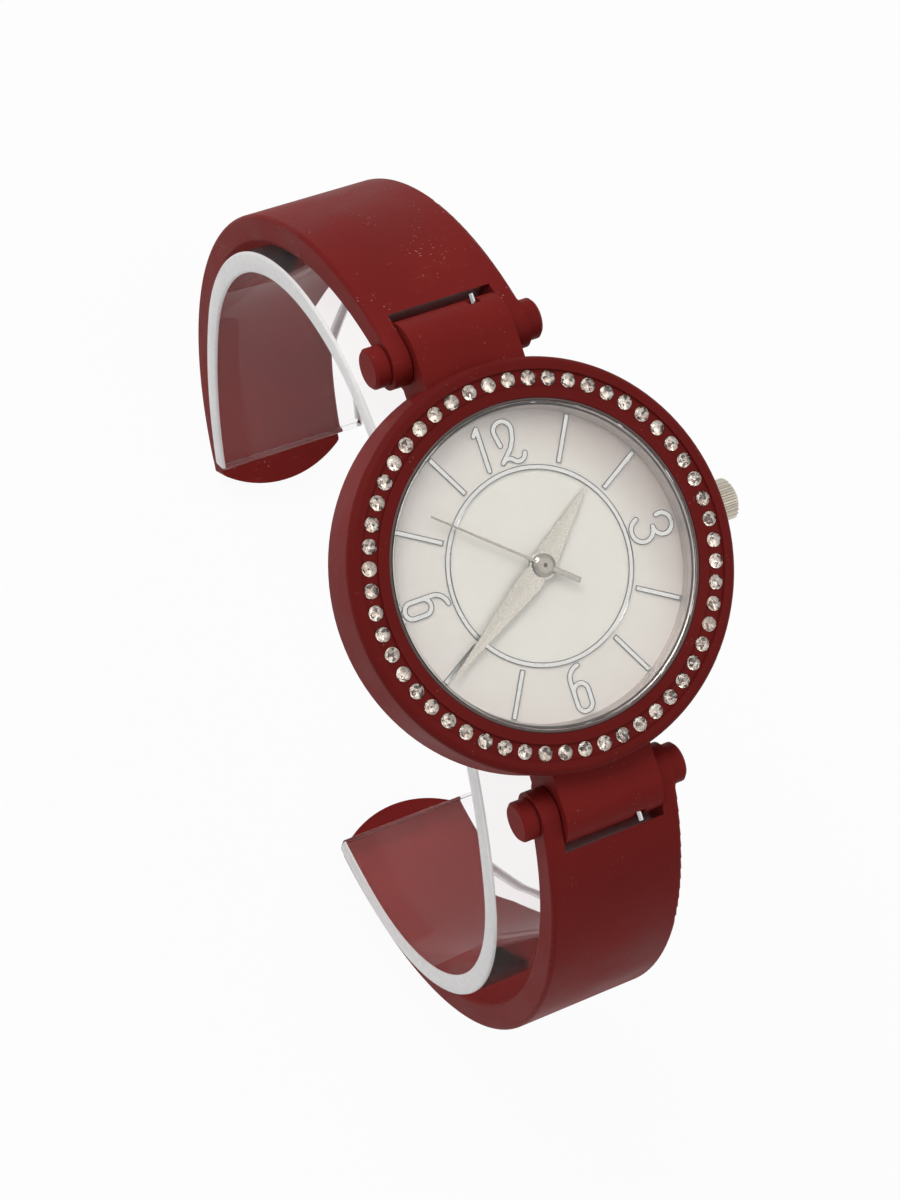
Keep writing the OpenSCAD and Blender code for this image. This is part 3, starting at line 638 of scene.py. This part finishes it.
@dataclass(frozen=True)
class Clear(Finish):
    """Clear glass or plastic with faint smears."""

    tint: Colour
    ior: float
    smear: float = 0.02
    clearness: float = 1.0
    smear_scale: float = 160.0
    smear_span: Span = (0.35, 0.75)
    smear_tint: float = 0.985

    def wire(self, w: Wiring) -> None:
        """Wires the clear stuff.

        Args:
            w: The material's wiring.
        """
        w.values(Transmission_Weight=self.clearness, IOR=self.ior)
        smears = w.spread(w.noise(self.smear_scale, 4.0, 0.6), self.smear_span)
        w.drive(
            Base_Color=w.blend(smears, self.tint, tuple(self.smear_tint * c for c in self.tint)),
            Roughness=w.spread(smears, (0.0, 1.0), (0.0, self.smear)),
        )
        w.let_shadows_through()


@dataclass(frozen=True)
class CutPlastic(Finish):
    """Frosted, milky cut edge of clear plastic."""

    milk: Colour = (0.97, 0.97, 0.96)
    clear: Colour = (0.90, 0.89, 0.89)
    grain: float = 1800.0
    grain_stretch: Point = (0.15, 1.0, 1.0)
    rough: Span = (0.3, 0.5)
    depth: float = 0.000003

    def wire(self, w: Wiring) -> None:
        """Wires the cut edge.

        Args:
            w: The material's wiring.
        """
        w.values(IOR=1.49, Transmission_Weight=0.25, Specular_IOR_Level=0.5)
        marks = w.noise(self.grain, 3.0, 0.6, w.placed(stretch=self.grain_stretch))
        w.drive(
            Base_Color=w.blend(w.spread(marks, CLOUD_SPAN), self.milk, self.clear),
            Roughness=w.spread(marks, GLOSS_SPAN, self.rough),
            Normal=w.relief(marks, self.depth),
        )
        w.let_shadows_through()


# ---- finish shop


class FinishShop:
    """Every finish of the watch, made once."""

    def __init__(self, dial_centre: Vector, circle_r: float) -> None:
        """Makes the finishes.

        Args:
            dial_centre: Middle of the dial in metres.
            circle_r: Radius of the raised circle in metres.
        """
        self.glass = Clear("clear_glass", (0.995, 0.998, 1.0), 1.5).build()
        self.stone = Clear("stone", (0.99, 0.98, 0.975), 1.62, smear=0.01).build()
        self.foil = CutFoil("stone_foil").build()
        self.strip = Clear("clear_insert", (0.975, 0.955, 0.955), 1.22, clearness=0.985).build()
        self.cut_edge = CutPlastic("clear_insert_edge").build()
        self.stroke_top = self.metal("stroke_silver", (0.52, 0.51, 0.485), (0.48, 0.47, 0.45), 0.30, 2400.0, 4e-7)
        # Painted reflection: the strokes' rolled sides are the same silver, darkened to stand for the dark
        # surroundings they mirror.
        self.stroke_side = self.metal("stroke_side_dark_reflection", (0.22, 0.21, 0.20), (0.17, 0.165, 0.16), 0.14, 2400.0)
        self.hand = self.metal("hand_silver", (0.44, 0.405, 0.345), (0.42, 0.385, 0.33), 0.28, 2600.0, 3e-7)
        self.hub = self.metal("hub_silver", (0.27, 0.24, 0.20), (0.24, 0.215, 0.18), 0.12, 2600.0, 2e-7)
        self.needle = self.metal("needle_silver", (0.30, 0.275, 0.235), (0.27, 0.245, 0.21), 0.24, 2600.0, 3e-7)
        self.gasket = Moulded("grey_gasket", (0.105, 0.070, 0.062), (0.090, 0.060, 0.054), 0.5, 900.0, 5e-7).build()
        self.rubber = Moulded("black_rubber", (0.028, 0.028, 0.03), (0.018, 0.018, 0.019), 0.62).build()
        self.polish = self.metal("polished_steel", (0.83, 0.82, 0.80), (0.74, 0.73, 0.72), 0.09, 2400.0)
        self.by_node = {"glass": self.glass, "glass_gasket": self.gasket}
        # The case's lacquer gets painted shade on its front.
        self.assign(Lacquer("lacquer_case", dust_amount=0.2, front=0.35).build(), "case_body")
        self.assign(Lacquer("lacquer_arm", dust_amount=0.55).build(), "upper_arm", "upper_caps")
        self.assign(Lacquer("lacquer_lower_arm", dust_amount=0.15).build(), "lower_arm", "lower_caps")
        self.assign(PearlLacquer("pearl_dial", dial_centre, circle_r).build(), "dial")
        self.assign(self.rubber, "back_gasket", "stem_gasket")
        self.assign(
            Metal("satin_steel", (0.62, 0.62, 0.63), (0.50, 0.50, 0.51), 0.34, 2600.0, (1.0, 0.08, 1.0)).build(),
            "case_back", "upper_pin", "lower_pin", "stem", "crown_tube", "setting_lever", "main_plate",
            "movement_screws", "battery_clip",
        )
        self.assign(
            self.metal("silver_ring", (0.56, 0.50, 0.47), (0.52, 0.46, 0.43), 0.42, 900.0, 2e-7), "flange_ring"
        )
        self.assign(
            self.metal("blued_steel", (0.045, 0.040, 0.036), (0.030, 0.027, 0.024), 0.35, 2600.0), "seconds_arbor"
        )
        self.assign(self.metal("crown_silver", (0.50, 0.46, 0.385), (0.42, 0.38, 0.32), 0.30, 3000.0), "crown")
        self.assign(self.metal("cell_steel", (0.74, 0.74, 0.75), (0.62, 0.62, 0.64), 0.16, 2200.0), "battery")
        self.assign(
            Metal("spring_steel", (0.80, 0.80, 0.81), (0.62, 0.62, 0.64), 0.18, 3200.0, (1.0, 0.1, 0.1)).build(),
            "upper_spring", "lower_spring",
        )
        self.assign(
            Metal("brass", (0.72, 0.55, 0.26), (0.60, 0.44, 0.19), 0.24, 2600.0, (0.1, 1.0, 1.0)).build(),
            "train_bridge", "cannon_pinion", "hour_wheel",
        )
        self.assign(
            Metal("copper_wire", (0.78, 0.36, 0.18), (0.45, 0.17, 0.08), 0.3, 6000.0, (1.0, 0.02, 0.02), 6e-6).build(),
            "motor_coil",
        )
        self.assign(Moulded("white_plastic", (0.78, 0.78, 0.74), (0.70, 0.70, 0.66), 0.45).build(), "movement_holder")
        self.assign(
            Moulded("board_green", (0.03, 0.19, 0.09), (0.015, 0.11, 0.05), 0.4, 900.0).build(), "circuit_board"
        )

    @staticmethod
    def metal(
        name: str, base: Colour, dark: Colour, rough: float, grain: float, depth: float = 0.000001
    ) -> Material:
        """Makes a metal whose marks run in no direction."""
        return Metal(name, base, dark, rough, grain, depth=depth).build()

    def assign(self, finish: Material, *nodes: str) -> None:
        """Gives nodes that stay as they are their finish."""
        self.by_node.update(dict.fromkeys(nodes, finish))

    def for_node(self, node: str) -> Material:
        """Picks the finish of a node; the ones with none of their own are of polished steel."""
        return self.by_node.get(node, self.polish)


# ---- sub-assemblies
# Sizes are in millimetres and angles in degrees


@dataclass
class Lens:
    """The slightly domed watch glass and the thin gasket round it."""

    seam: float = 0.025
    softening: float = 0.12
    rise: float = 0.15
    shoulder: float = 0.01
    lip: float = 0.3
    gasket_seam: float = 0.01
    rings: int = 12
    sides: int = 160
    weld: float = 0.0005

    def revolve(self, line: Sequence[Span], closed: bool) -> Mesh:
        """Spins a profile once round the dial's axis.

        Args:
            line: Points of the profile, as radius and height.
            closed: Whether the profile's ends are joined.

        Returns:
            The mesh in the shared frame.
        """
        bm = bmesh.new()
        points = [bm.verts.new((r, 0.0, z)) for r, z in line]
        pairs = list(zip(points, points[1:])) + ([(points[-1], points[0])] if closed else [])
        edges = [bm.edges.new(pair) for pair in pairs]
        bmesh.ops.spin(
            bm, geom=points + edges, cent=(0, 0, 0), axis=(0, 0, 1), angle=math.tau, steps=self.sides, use_merge=True
        )
        bmesh.ops.remove_doubles(bm, verts=bm.verts, dist=self.weld)
        to_frame(bm)
        return bm

    def glass(self, shop: FinishShop) -> Piece:
        """Turns the glass.

        Args:
            shop: The finishes.

        Returns:
            The glass.
        """
        low, high = local_box("glass")
        edge, soft, lip = (high.x - low.x) / 2 - self.seam, self.softening, self.lip * self.softening
        rim_top = high.z - self.rise
        dome = [(edge * i / self.rings, rim_top + self.rise * (1 - (i / self.rings) ** 2)) for i in range(self.rings)]
        line = dome + [(edge - soft, rim_top + self.shoulder), (edge - lip, rim_top - lip), (edge, rim_top - soft)]
        line += [(edge, low.z + soft), (edge - soft, low.z), (0.0, low.z)]
        piece = make_piece(self.revolve(line, False), "watch_glass", [shop.glass], smooth=25.0)
        return attach(piece, Body.HEAD, "clear_glass", "glass")

    def gasket(self, shop: FinishShop) -> Piece:
        """Turns the gasket.

        Args:
            shop: The finishes.

        Returns:
            The gasket.
        """
        low, high = local_box("glass_gasket")
        glass_low, glass_high = local_box("glass")
        outer, inner = (high.x - low.x) / 2 - self.gasket_seam, (glass_high.x - glass_low.x) / 2
        soft = (outer - inner) * self.lip
        line = [(inner, low.z), (outer, low.z), (outer, high.z - soft)]
        line += [(outer - soft, high.z), (inner + soft, high.z), (inner, high.z - soft)]
        piece = make_piece(self.revolve(line, True), "glass_gasket_ring", [shop.gasket], smooth=50.0)
        return attach(piece, Body.HEAD, "grey_gasket", "glass_gasket")


@dataclass
class StoneRing:
    """The ring of round cut stones in the rim."""

    count: int = 54
    ring_r: float = 17.0
    first_angle: float = 90.0
    radius: float = 0.70
    facets: int = 8
    table_r: float = 0.38
    crown_h: float = 0.22
    middle_out: float = 0.6
    middle_down: float = 0.42
    girdle_h: float = 0.06
    pavilion_h: float = 0.5
    waist_in: float = 0.5
    waist_down: float = 0.52
    culet_r: float = 0.05
    tilt: float = 2.2
    tilt_steps: Span = (2.4, 1.7)
    turn_step: float = 37.0

    def loop(
        self, bm: Mesh, sides: int, radius: float, z: float, turn: float = 0.0, cap: bool = False
    ) -> list[bmesh.types.BMEdge]:
        """Draws one level outline of the cut.

        Args:
            bm: Mesh to draw in.
            sides: Number of corners.
            radius: Radius of the outline.
            z: Height.
            turn: Turn in degrees.
            cap: Whether the outline is filled.

        Returns:
            The outline's edges.
        """
        matrix = Matrix.Translation((0, 0, z)) @ Matrix.Rotation(math.radians(turn), 4, "Z")
        made = bmesh.ops.create_circle(bm, cap_ends=cap, segments=sides, radius=radius, matrix=matrix)["verts"]
        return list({edge for vert in made for edge in vert.link_edges})

    def cut(self) -> Mesh:
        """Cuts one stone, its table level at height zero.

        Returns:
            The stone; faces below the girdle's top have material number 1.
        """
        bm = bmesh.new()
        few, many = self.facets, 2 * self.facets
        half_step = 180.0 / few
        low = -self.crown_h - self.girdle_h
        middle_r = self.table_r + self.middle_out * (self.radius - self.table_r)
        outlines = (
            self.loop(bm, few, self.table_r, 0.0, half_step, True),
            self.loop(bm, few, middle_r, -self.middle_down * self.crown_h),
            self.loop(bm, many, self.radius, -self.crown_h),
            self.loop(bm, many, self.radius, low),
            self.loop(bm, few, self.radius * self.waist_in, low - self.waist_down * self.pavilion_h, half_step),
            self.loop(bm, few, self.culet_r, low - self.pavilion_h, half_step, True),
        )
        for first, second in zip(outlines, outlines[1:]):
            bmesh.ops.bridge_loops(bm, edges=first + second)
        bmesh.ops.triangulate(bm, faces=[f for f in bm.faces if len(f.verts) == 4])
        for face in bm.faces:
            face.material_index = 1 if face.calc_center_median().z < -self.crown_h - 0.01 else 0
        bmesh.ops.recalc_face_normals(bm, faces=bm.faces)
        return bm

    def seat(self, i: int) -> Matrix:
        """Places one stone in the rim, a little askew and turned at random.

        Args:
            i: Number of the stone.

        Returns:
            Its place.
        """
        lean_x = math.radians(self.tilt * math.sin(self.tilt_steps[0] * i))
        lean_y = math.radians(self.tilt * math.cos(self.tilt_steps[1] * i))
        return (
            Matrix.Rotation(math.radians(self.first_angle + i * 360 / self.count), 4, "Z")
            @ Matrix.Translation((self.ring_r, 0, 0))
            @ Matrix.Rotation(lean_x, 4, "X")
            @ Matrix.Rotation(lean_y, 4, "Y")
            @ Matrix.Rotation(math.radians(self.turn_step * i), 4, "Z")
        )

    def build(self, shop: FinishShop) -> Piece:
        """Sets every stone in the rim.

        Args:
            shop: The finishes.

        Returns:
            The ring of stones.
        """
        stone = self.cut()
        source = bpy.data.meshes.new("one_stone")
        stone.to_mesh(source)
        stone.free()
        ring = bmesh.new()
        for i in range(self.count):
            start = len(ring.verts)
            ring.from_mesh(source)
            ring.verts.ensure_lookup_table()
            bmesh.ops.transform(ring, matrix=self.seat(i), verts=ring.verts[start:])
        bpy.data.meshes.remove(source)
        to_frame(ring)
        piece = make_piece(ring, "stone_ring", [shop.stone, shop.foil], smooth=None)
        return attach(piece, Body.HEAD, "stone", "bezel_stones")


@dataclass
class RaisedStrokes:
    """The raised circle, hour bars and numerals, with their edges rolled over."""

    node: str
    roll: float = 0.085
    drop: float = 0.07
    weld: float = 0.002
    flat: float = 1.0

    def build(self, shop: FinishShop) -> Piece:
        """Rolls the edges of a copy of the node.

        Args:
            shop: The finishes.

        Returns:
            The strokes.
        """
        bm = bmesh.new()
        bm.from_mesh(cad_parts[self.node].data)
        bmesh.ops.remove_doubles(bm, verts=bm.verts, dist=self.weld * MM)
        bmesh.ops.dissolve_limit(bm, angle_limit=math.radians(self.flat), verts=bm.verts, edges=bm.edges)
        bm.normal_update()
        tops = [f for f in bm.faces if f.normal.z > UP_FACING]
        outline = {v for f in tops for v in f.verts}
        bmesh.ops.inset_region(bm, faces=tops, thickness=self.roll * MM, use_boundary=True, use_even_offset=True)
        bmesh.ops.translate(bm, vec=(0, 0, -self.drop * MM), verts=list(outline))
        # Rolled sides and walls take the darkened stroke finish, a painted reflection; tops keep the plain silver.
        for face in bm.faces:
            face.material_index = 1
        for face in tops:
            face.material_index = 0
        piece = make_piece(bm, self.node + "_rolled", [shop.stroke_top, shop.stroke_side], smooth=25.0)
        return attach(piece, Body.HEAD, "polished_steel", self.node)


@dataclass
class LeafHand:
    """A leaf-shaped hand with a ridge along its middle and a stepped round boss."""

    node: str
    body: Body
    length: float
    height: float
    turn: float
    half: float = 1.13
    widest: float = 0.14
    root_half: float = 0.81
    tip_half: float = 0.05
    thick: float = 0.08
    ridge: float = 0.07
    boss_radii: Span = (1.35, 0.972)
    boss_extra: float = 0.02
    softening: float = 0.05
    soft_from: float = 0.9
    sides: int = 48

    def leaf(self, bm: Mesh) -> None:
        """Draws the blade, pointing to 12 o'clock.

        Args:
            bm: Mesh to draw in.
        """
        bmesh.ops.create_grid(bm, x_segments=2, y_segments=2, size=1.0)
        rows = {-1: (0.0, self.root_half), 0: (self.length * self.widest, self.half), 1: (self.length, self.tip_half)}
        for vert in bm.verts:
            column, (along, half) = round(vert.co.x), rows[round(vert.co.y)]
            high = self.thick + (self.ridge if column == 0 and along < self.length else 0.0)
            vert.co = (column * half, along, high)
        lower = bmesh.ops.extrude_face_region(bm, geom=list(bm.faces), use_keep_orig=True)["geom"]
        for vert in lower:
            if isinstance(vert, bmesh.types.BMVert):
                vert.co.z = 0.0

    def build(self, shop: FinishShop) -> Piece:
        """Shapes the hand.

        Args:
            shop: The finishes.

        Returns:
            The hand.
        """
        bm = bmesh.new()
        self.leaf(bm)
        depth = self.thick + self.boss_extra
        for radius, low in zip(self.boss_radii, (0.0, self.thick)):
            made = bmesh.ops.create_cone(
                bm, cap_ends=True, segments=self.sides, radius1=radius, radius2=radius, depth=depth,
                matrix=Matrix.Translation((0, 0, low + depth / 2)),
            )["verts"]
            soften(bm, made, low + self.thick * self.soft_from, self.softening, 2)
        set_hand(bm, self.turn, self.height)
        piece = make_piece(bm, self.node + "_leaf", [shop.hand], smooth=6.0)
        return attach(piece, self.body, "polished_steel", self.node)


@dataclass
class SecondHand:
    """The thin second hand with its tail and the conical cap over the middle."""

    length: float = 11.69
    half: float = 0.13
    tip_share: float = 0.7
    tail: float = 3.7
    tail_half: float = 0.23
    low: float = 0.01
    thick: float = 0.09
    softening: float = 0.03
    height: float = -1.01
    turn: float = 309.6
    hub: float = 1.08
    slope: float = 0.34
    rise: float = 0.2
    hub_softening: float = 0.05
    sides: int = 64
    pin: float = 0.2
    pin_edge: float = 0.02
    pin_drop: float = 0.08

    def blade(self, bm: Mesh) -> None:
        """Draws the needle and the tail, pointing to 12 and to 6 o'clock.

        Args:
            bm: Mesh to draw in.
        """
        middle = self.low + self.thick / 2
        for end, half, tip in ((self.length, self.half, self.tip_share), (-self.tail, self.tail_half, 1.0)):
            made = bmesh.ops.create_cube(bm, size=1.0)["verts"]
            for vert in made:
                far = vert.co.y > 0
                across = vert.co.x * 2 * half * (tip if far else 1.0)
                vert.co = (across, end if far else 0.0, middle + vert.co.z * self.thick)
            soften(bm, made, middle, self.softening, 2)

    def build(self, shop: FinishShop) -> Piece:
        """Shapes the hand.

        Args:
            shop: The finishes.

        Returns:
            The hand.
        """
        bm = bmesh.new()
        self.blade(bm)
        for face in bm.faces:
            face.material_index = 1
        top_r = self.hub - self.slope
        made = bmesh.ops.create_cone(
            bm, cap_ends=True, segments=self.sides, radius1=self.hub, radius2=top_r, depth=self.rise,
            matrix=Matrix.Translation((0, 0, self.rise / 2)),
        )["verts"]
        soften(bm, made, self.rise / 2, self.hub_softening, 3)
        bm.normal_update()
        tops = [f for f in bm.faces if len(f.verts) > self.sides / 2 and f.normal.z > UP_FACING]
        flat_w = top_r - self.hub_softening - self.pin
        rim = bmesh.ops.inset_region(bm, faces=tops, thickness=flat_w, depth=0.0)["faces"]
        bmesh.ops.inset_region(bm, faces=tops, thickness=self.pin_edge, depth=-self.pin_drop)
        for face in rim:
            face.material_index = 0
        for face in tops:
            face.material_index = 2
        set_hand(bm, self.turn, self.height)
        piece = make_piece(bm, "second_hand_needle", [shop.hub, shop.needle, shop.rubber], smooth=30.0)
        return attach(piece, Body.SECONDS, "polished_steel", "second_hand")


@dataclass
class DisplayStrip:
    """The clear open strip that holds the cuff in shape.

    Its side view is five arcs that carry on smoothly. Three of them are given as the middle's y and z and the
    outer radius. Angles are from the upright, and count toward 12 o'clock for upper and toward 6 for lower.
    """

    half: float = 8.4
    wall: float = 2.1
    front: Point = (4.7545, -72.7778, 64.6178)
    upper: Point = (14.5084, -31.9284, 22.62)
    lower: Point = (-18.3144, -37.683, 22.62)
    rear_r: float = 46.1448
    upper_front: float = 13.4295
    lower_front: float = 33.3182
    upper_rear: float = 125.0
    lower_rear: float = 144.5
    upper_end: float = 150.0
    lower_end: float = 153.0
    step: float = 1.6
    edge_r: float = 0.28
    end_area: float = 30.0
    sharp: float = 0.6

    def centre(self, side: Point, angle: float) -> Span:
        """Gives the middle, as y and z, of the rear arc that carries on smoothly from a side arc at an angle."""
        off = side[2] - self.rear_r
        return side[0] + off * math.sin(math.radians(angle)), side[1] + off * math.cos(math.radians(angle))

    def sweep(self, bm: Mesh) -> None:
        """Draws the strip's section at its lower end and takes it along the arcs.

        Args:
            bm: Mesh to draw in.
        """
        lower_rear = self.centre(self.lower, -self.lower_rear)
        upper_rear = self.centre(self.upper, self.upper_rear)
        arcs = (
            (lower_rear, -self.lower_end, -self.lower_rear),
            (self.lower[:2], -self.lower_rear, -self.lower_front),
            (self.front[:2], -self.lower_front, self.upper_front),
            (self.upper[:2], self.upper_front, self.upper_rear),
            (upper_rear, self.upper_rear, self.upper_end),
        )
        start = math.radians(-self.lower_end)
        out = Vector((0, math.sin(start), math.cos(start)))
        for vert in bmesh.ops.create_grid(bm, x_segments=1, y_segments=1, size=0.5)["verts"]:
            across, along = vert.co.x * 2 * self.half, self.rear_r - self.wall / 2 + vert.co.y * self.wall
            vert.co = Vector((across, lower_rear[0], lower_rear[1])) + out * along
        bmesh.ops.delete(bm, geom=list(bm.faces), context="FACES_ONLY")
        rim = list(bm.verts) + list(bm.edges)
        for (y, z), first, last in arcs:
            steps = max(2, math.ceil((last - first) / self.step))
            rim = bmesh.ops.spin(
                bm, geom=rim, cent=(0, y, z), axis=(-1, 0, 0), angle=math.radians(last - first), steps=steps,
                use_duplicate=False,
            )["geom_last"]
        bmesh.ops.holes_fill(bm, edges=[e for e in bm.edges if e.is_boundary], sides=4)
        bmesh.ops.recalc_face_normals(bm, faces=bm.faces)
        bm.normal_update()

    def build(self, shop: FinishShop) -> Piece:
        """Bends the strip, rounds its edges and frosts its long cut sides.

        Args:
            shop: The finishes.

        Returns:
            The strip.
        """
        bm = bmesh.new()
        self.sweep(bm)
        ends = [
            (f.calc_center_median(), f.normal.copy())
            for f in bm.faces
            if f.calc_area() > self.end_area and abs(f.normal.x) < 0.01
        ]
        sharp = [e for e in bm.edges if e.calc_face_angle(0.0) > self.sharp]
        bmesh.ops.bevel(bm, geom=sharp, offset=self.edge_r, segments=3, profile=0.5, affect="EDGES", material=-1)
        rounding, near = self.edge_r * 1.02, self.half * 1.1
        for face in bm.faces:
            point = face.calc_center_median()
            at_end = any((point - p).length < near and (point - p).dot(n) > -rounding for p, n in ends)
            face.material_index = 1 if abs(point.x) > self.half - rounding and not at_end else 0
        to_frame(bm)
        piece = make_piece(bm, "bent_clear_strip", [shop.strip, shop.cut_edge], smooth=40.0)
        return attach(piece, Body.CUFF_STRIP, "clear_insert", "display_cuff")


# ---- studio


@dataclass(frozen=True)
class Lamp:
    """One soft square lamp, with sizes in metres and power in watts."""

    name: str
    place: Point
    size: float
    power: float
    aim: Point = (0.0, 0.0, 0.05)

    def build(self) -> None:
        """Hangs the lamp."""
        data = bpy.data.lights.new(self.name, "AREA")
        data.size, data.energy = self.size, self.power
        lamp = bpy.data.objects.new(self.name, data)
        lamp.location = self.place
        lamp.rotation_euler = (Vector(self.place) - Vector(self.aim)).to_track_quat("Z", "Y").to_euler()
        bpy.context.scene.collection.objects.link(lamp)


@dataclass
class Studio:
    """Plain white floor, soft lamps and the camera at the photograph's angle.

    The camera looks along ahead from eye; right and down are the picture's own directions. The air is white where
    it is seen, dimmer where it lights a dull surface, and darker round dark_way where it is mirrored.
    """

    lens: float = 85.6786
    eye: Point = (-0.10211938, 0.01816096, 0.30135412)
    right: Point = (0.880219, -0.310344, 0.359028)
    down: Point = (-0.31168, -0.948548, -0.055789)
    ahead: Point = (0.357868, -0.062796, -0.931658)
    air_light: float = 0.46
    air_seen: float = 0.99
    dark_way: Point = (-0.78, 0.02, 0.62)
    dark_span: Span = (0.93, 0.985)
    dark_amount: float = 0.88
    floor_r: float = 3.0
    floor_seen: float = 0.94
    lamps: tuple[Lamp, ...] = (
        Lamp("key_lamp", (-0.16, 0.42, 0.46), 0.30, 1.6),
        Lamp("fill_lamp", (0.30, -0.10, 0.55), 0.40, 0.3),
    )

    def camera(self) -> None:
        """Sets the camera."""
        data = bpy.data.cameras.new("studio_camera")
        data.lens, data.sensor_width = self.lens, 36.0
        data.clip_start, data.clip_end = 0.01, 20.0
        eye = bpy.data.objects.new("studio_camera", data)
        turn = Matrix((self.right, [-c for c in self.down], [-c for c in self.ahead])).transposed().to_4x4()
        eye.matrix_world = Matrix.Translation(self.eye) @ turn
        bpy.context.scene.collection.objects.link(eye)
        bpy.context.scene.camera = eye

    def air(self) -> None:
        """Fills the room with plain pale light, seen as white, with one darker side that only shows in reflections."""
        world = bpy.data.worlds.new("studio_air")
        bpy.context.scene.world = world
        world.use_nodes = True
        tree = world.node_tree
        back = tree.nodes["Background"]
        set_inputs(back, Color=(1.0, 1.0, 1.0, 1.0))
        path = add_node(tree, "LightPath").outputs
        bounce = add_maths(tree, "MAXIMUM", path["Is Glossy Ray"], path["Is Transmission Ray"])
        seen = add_maths(tree, "MAXIMUM", path["Is Camera Ray"], bounce)
        power = add_range(tree, seen, (0.0, 1.0), (self.air_light, self.air_seen))
        way = add_node(tree, "TexCoord").outputs["Generated"]
        lobe = add_dot(tree, way, Vector(self.dark_way).normalized())
        shade = add_range(tree, lobe, self.dark_span, (0.0, self.dark_amount), "SMOOTHSTEP")
        left = add_maths(tree, "SUBTRACT", power, add_maths(tree, "MULTIPLY", shade, bounce))
        tree.links.new(left, back.inputs["Strength"])

    def floor(self) -> None:
        """Lays the white floor, which keeps the watch's shadow."""
        bm = bmesh.new()
        bmesh.ops.create_circle(bm, cap_ends=True, segments=64, radius=self.floor_r)
        w = Wiring("studio_floor")
        w.values(Roughness=0.9, Specular_IOR_Level=0.1)
        w.drive(Base_Color=w.blend(w.noise(12.0), (0.90, 0.90, 0.90), (0.92, 0.92, 0.92)))
        path = add_node(w.tree, "LightPath").outputs
        white = add_node(w.tree, "Emission")
        seen = w.maths("MAXIMUM", path["Is Camera Ray"], path["Is Glossy Ray"])
        seen = w.maths("MAXIMUM", seen, path["Is Transmission Ray"])
        w.mix_surface(w.maths("MULTIPLY", seen, self.floor_seen), white.outputs["Emission"])
        floor = make_piece(bm, "studio_floor", [w.material], smooth=None)

    def build(self) -> None:
        """Sets up the whole studio."""
        bpy.context.scene.view_settings.view_transform = "Standard"
        self.camera()
        self.air()
        self.floor()
        for lamp in self.lamps:
            lamp.build()


# ---- the watch


@dataclass
class Watch:
    """The whole watch, dressed node by node."""

    shop: FinishShop

    def dress(self) -> None:
        """Gives every node that stays its finish."""
        for name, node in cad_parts.items():
            finish = self.shop.for_node(name)
            for place in node.material_slots:
                place.material = finish
            LOG.info("dressed %s with %s", name, finish.name)

    def build(self) -> None:
        """Dresses the nodes and makes every finer piece."""
        self.dress()
        parts = [
            StoneRing(),
            RaisedStrokes("dial_circle"),
            RaisedStrokes("hour_bars"),
            RaisedStrokes("numerals", roll=0.07),
            LeafHand("hour_hand", Body.HOURS, length=8.58, height=-1.7, turn=49.93),
            LeafHand("minute_hand", Body.MINUTES, length=13.585, height=-1.35, turn=239.16),
            SecondHand(),
            DisplayStrip(),
        ]
        made = [Lens().glass(self.shop), Lens().gasket(self.shop)] + [part.build(self.shop) for part in parts]
        for piece in made:
            LOG.info("made %s, %d faces", piece.name, len(piece.data.polygons))


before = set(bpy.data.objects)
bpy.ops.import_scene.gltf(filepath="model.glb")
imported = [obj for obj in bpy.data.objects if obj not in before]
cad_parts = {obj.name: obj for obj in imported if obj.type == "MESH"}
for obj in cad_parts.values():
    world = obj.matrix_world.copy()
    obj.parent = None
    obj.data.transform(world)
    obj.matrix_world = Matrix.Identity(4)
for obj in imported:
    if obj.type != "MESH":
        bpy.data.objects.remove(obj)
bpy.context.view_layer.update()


def main() -> None:
    """Builds the studio and the watch."""
    logging.basicConfig(level=logging.INFO, format="%(name)s: %(message)s")
    Studio().build()
    shop = FinishShop(SHIFT * MM, CIRCLE_R * MM)
    Watch(shop).build()


if __name__ == "__main__":
    main()
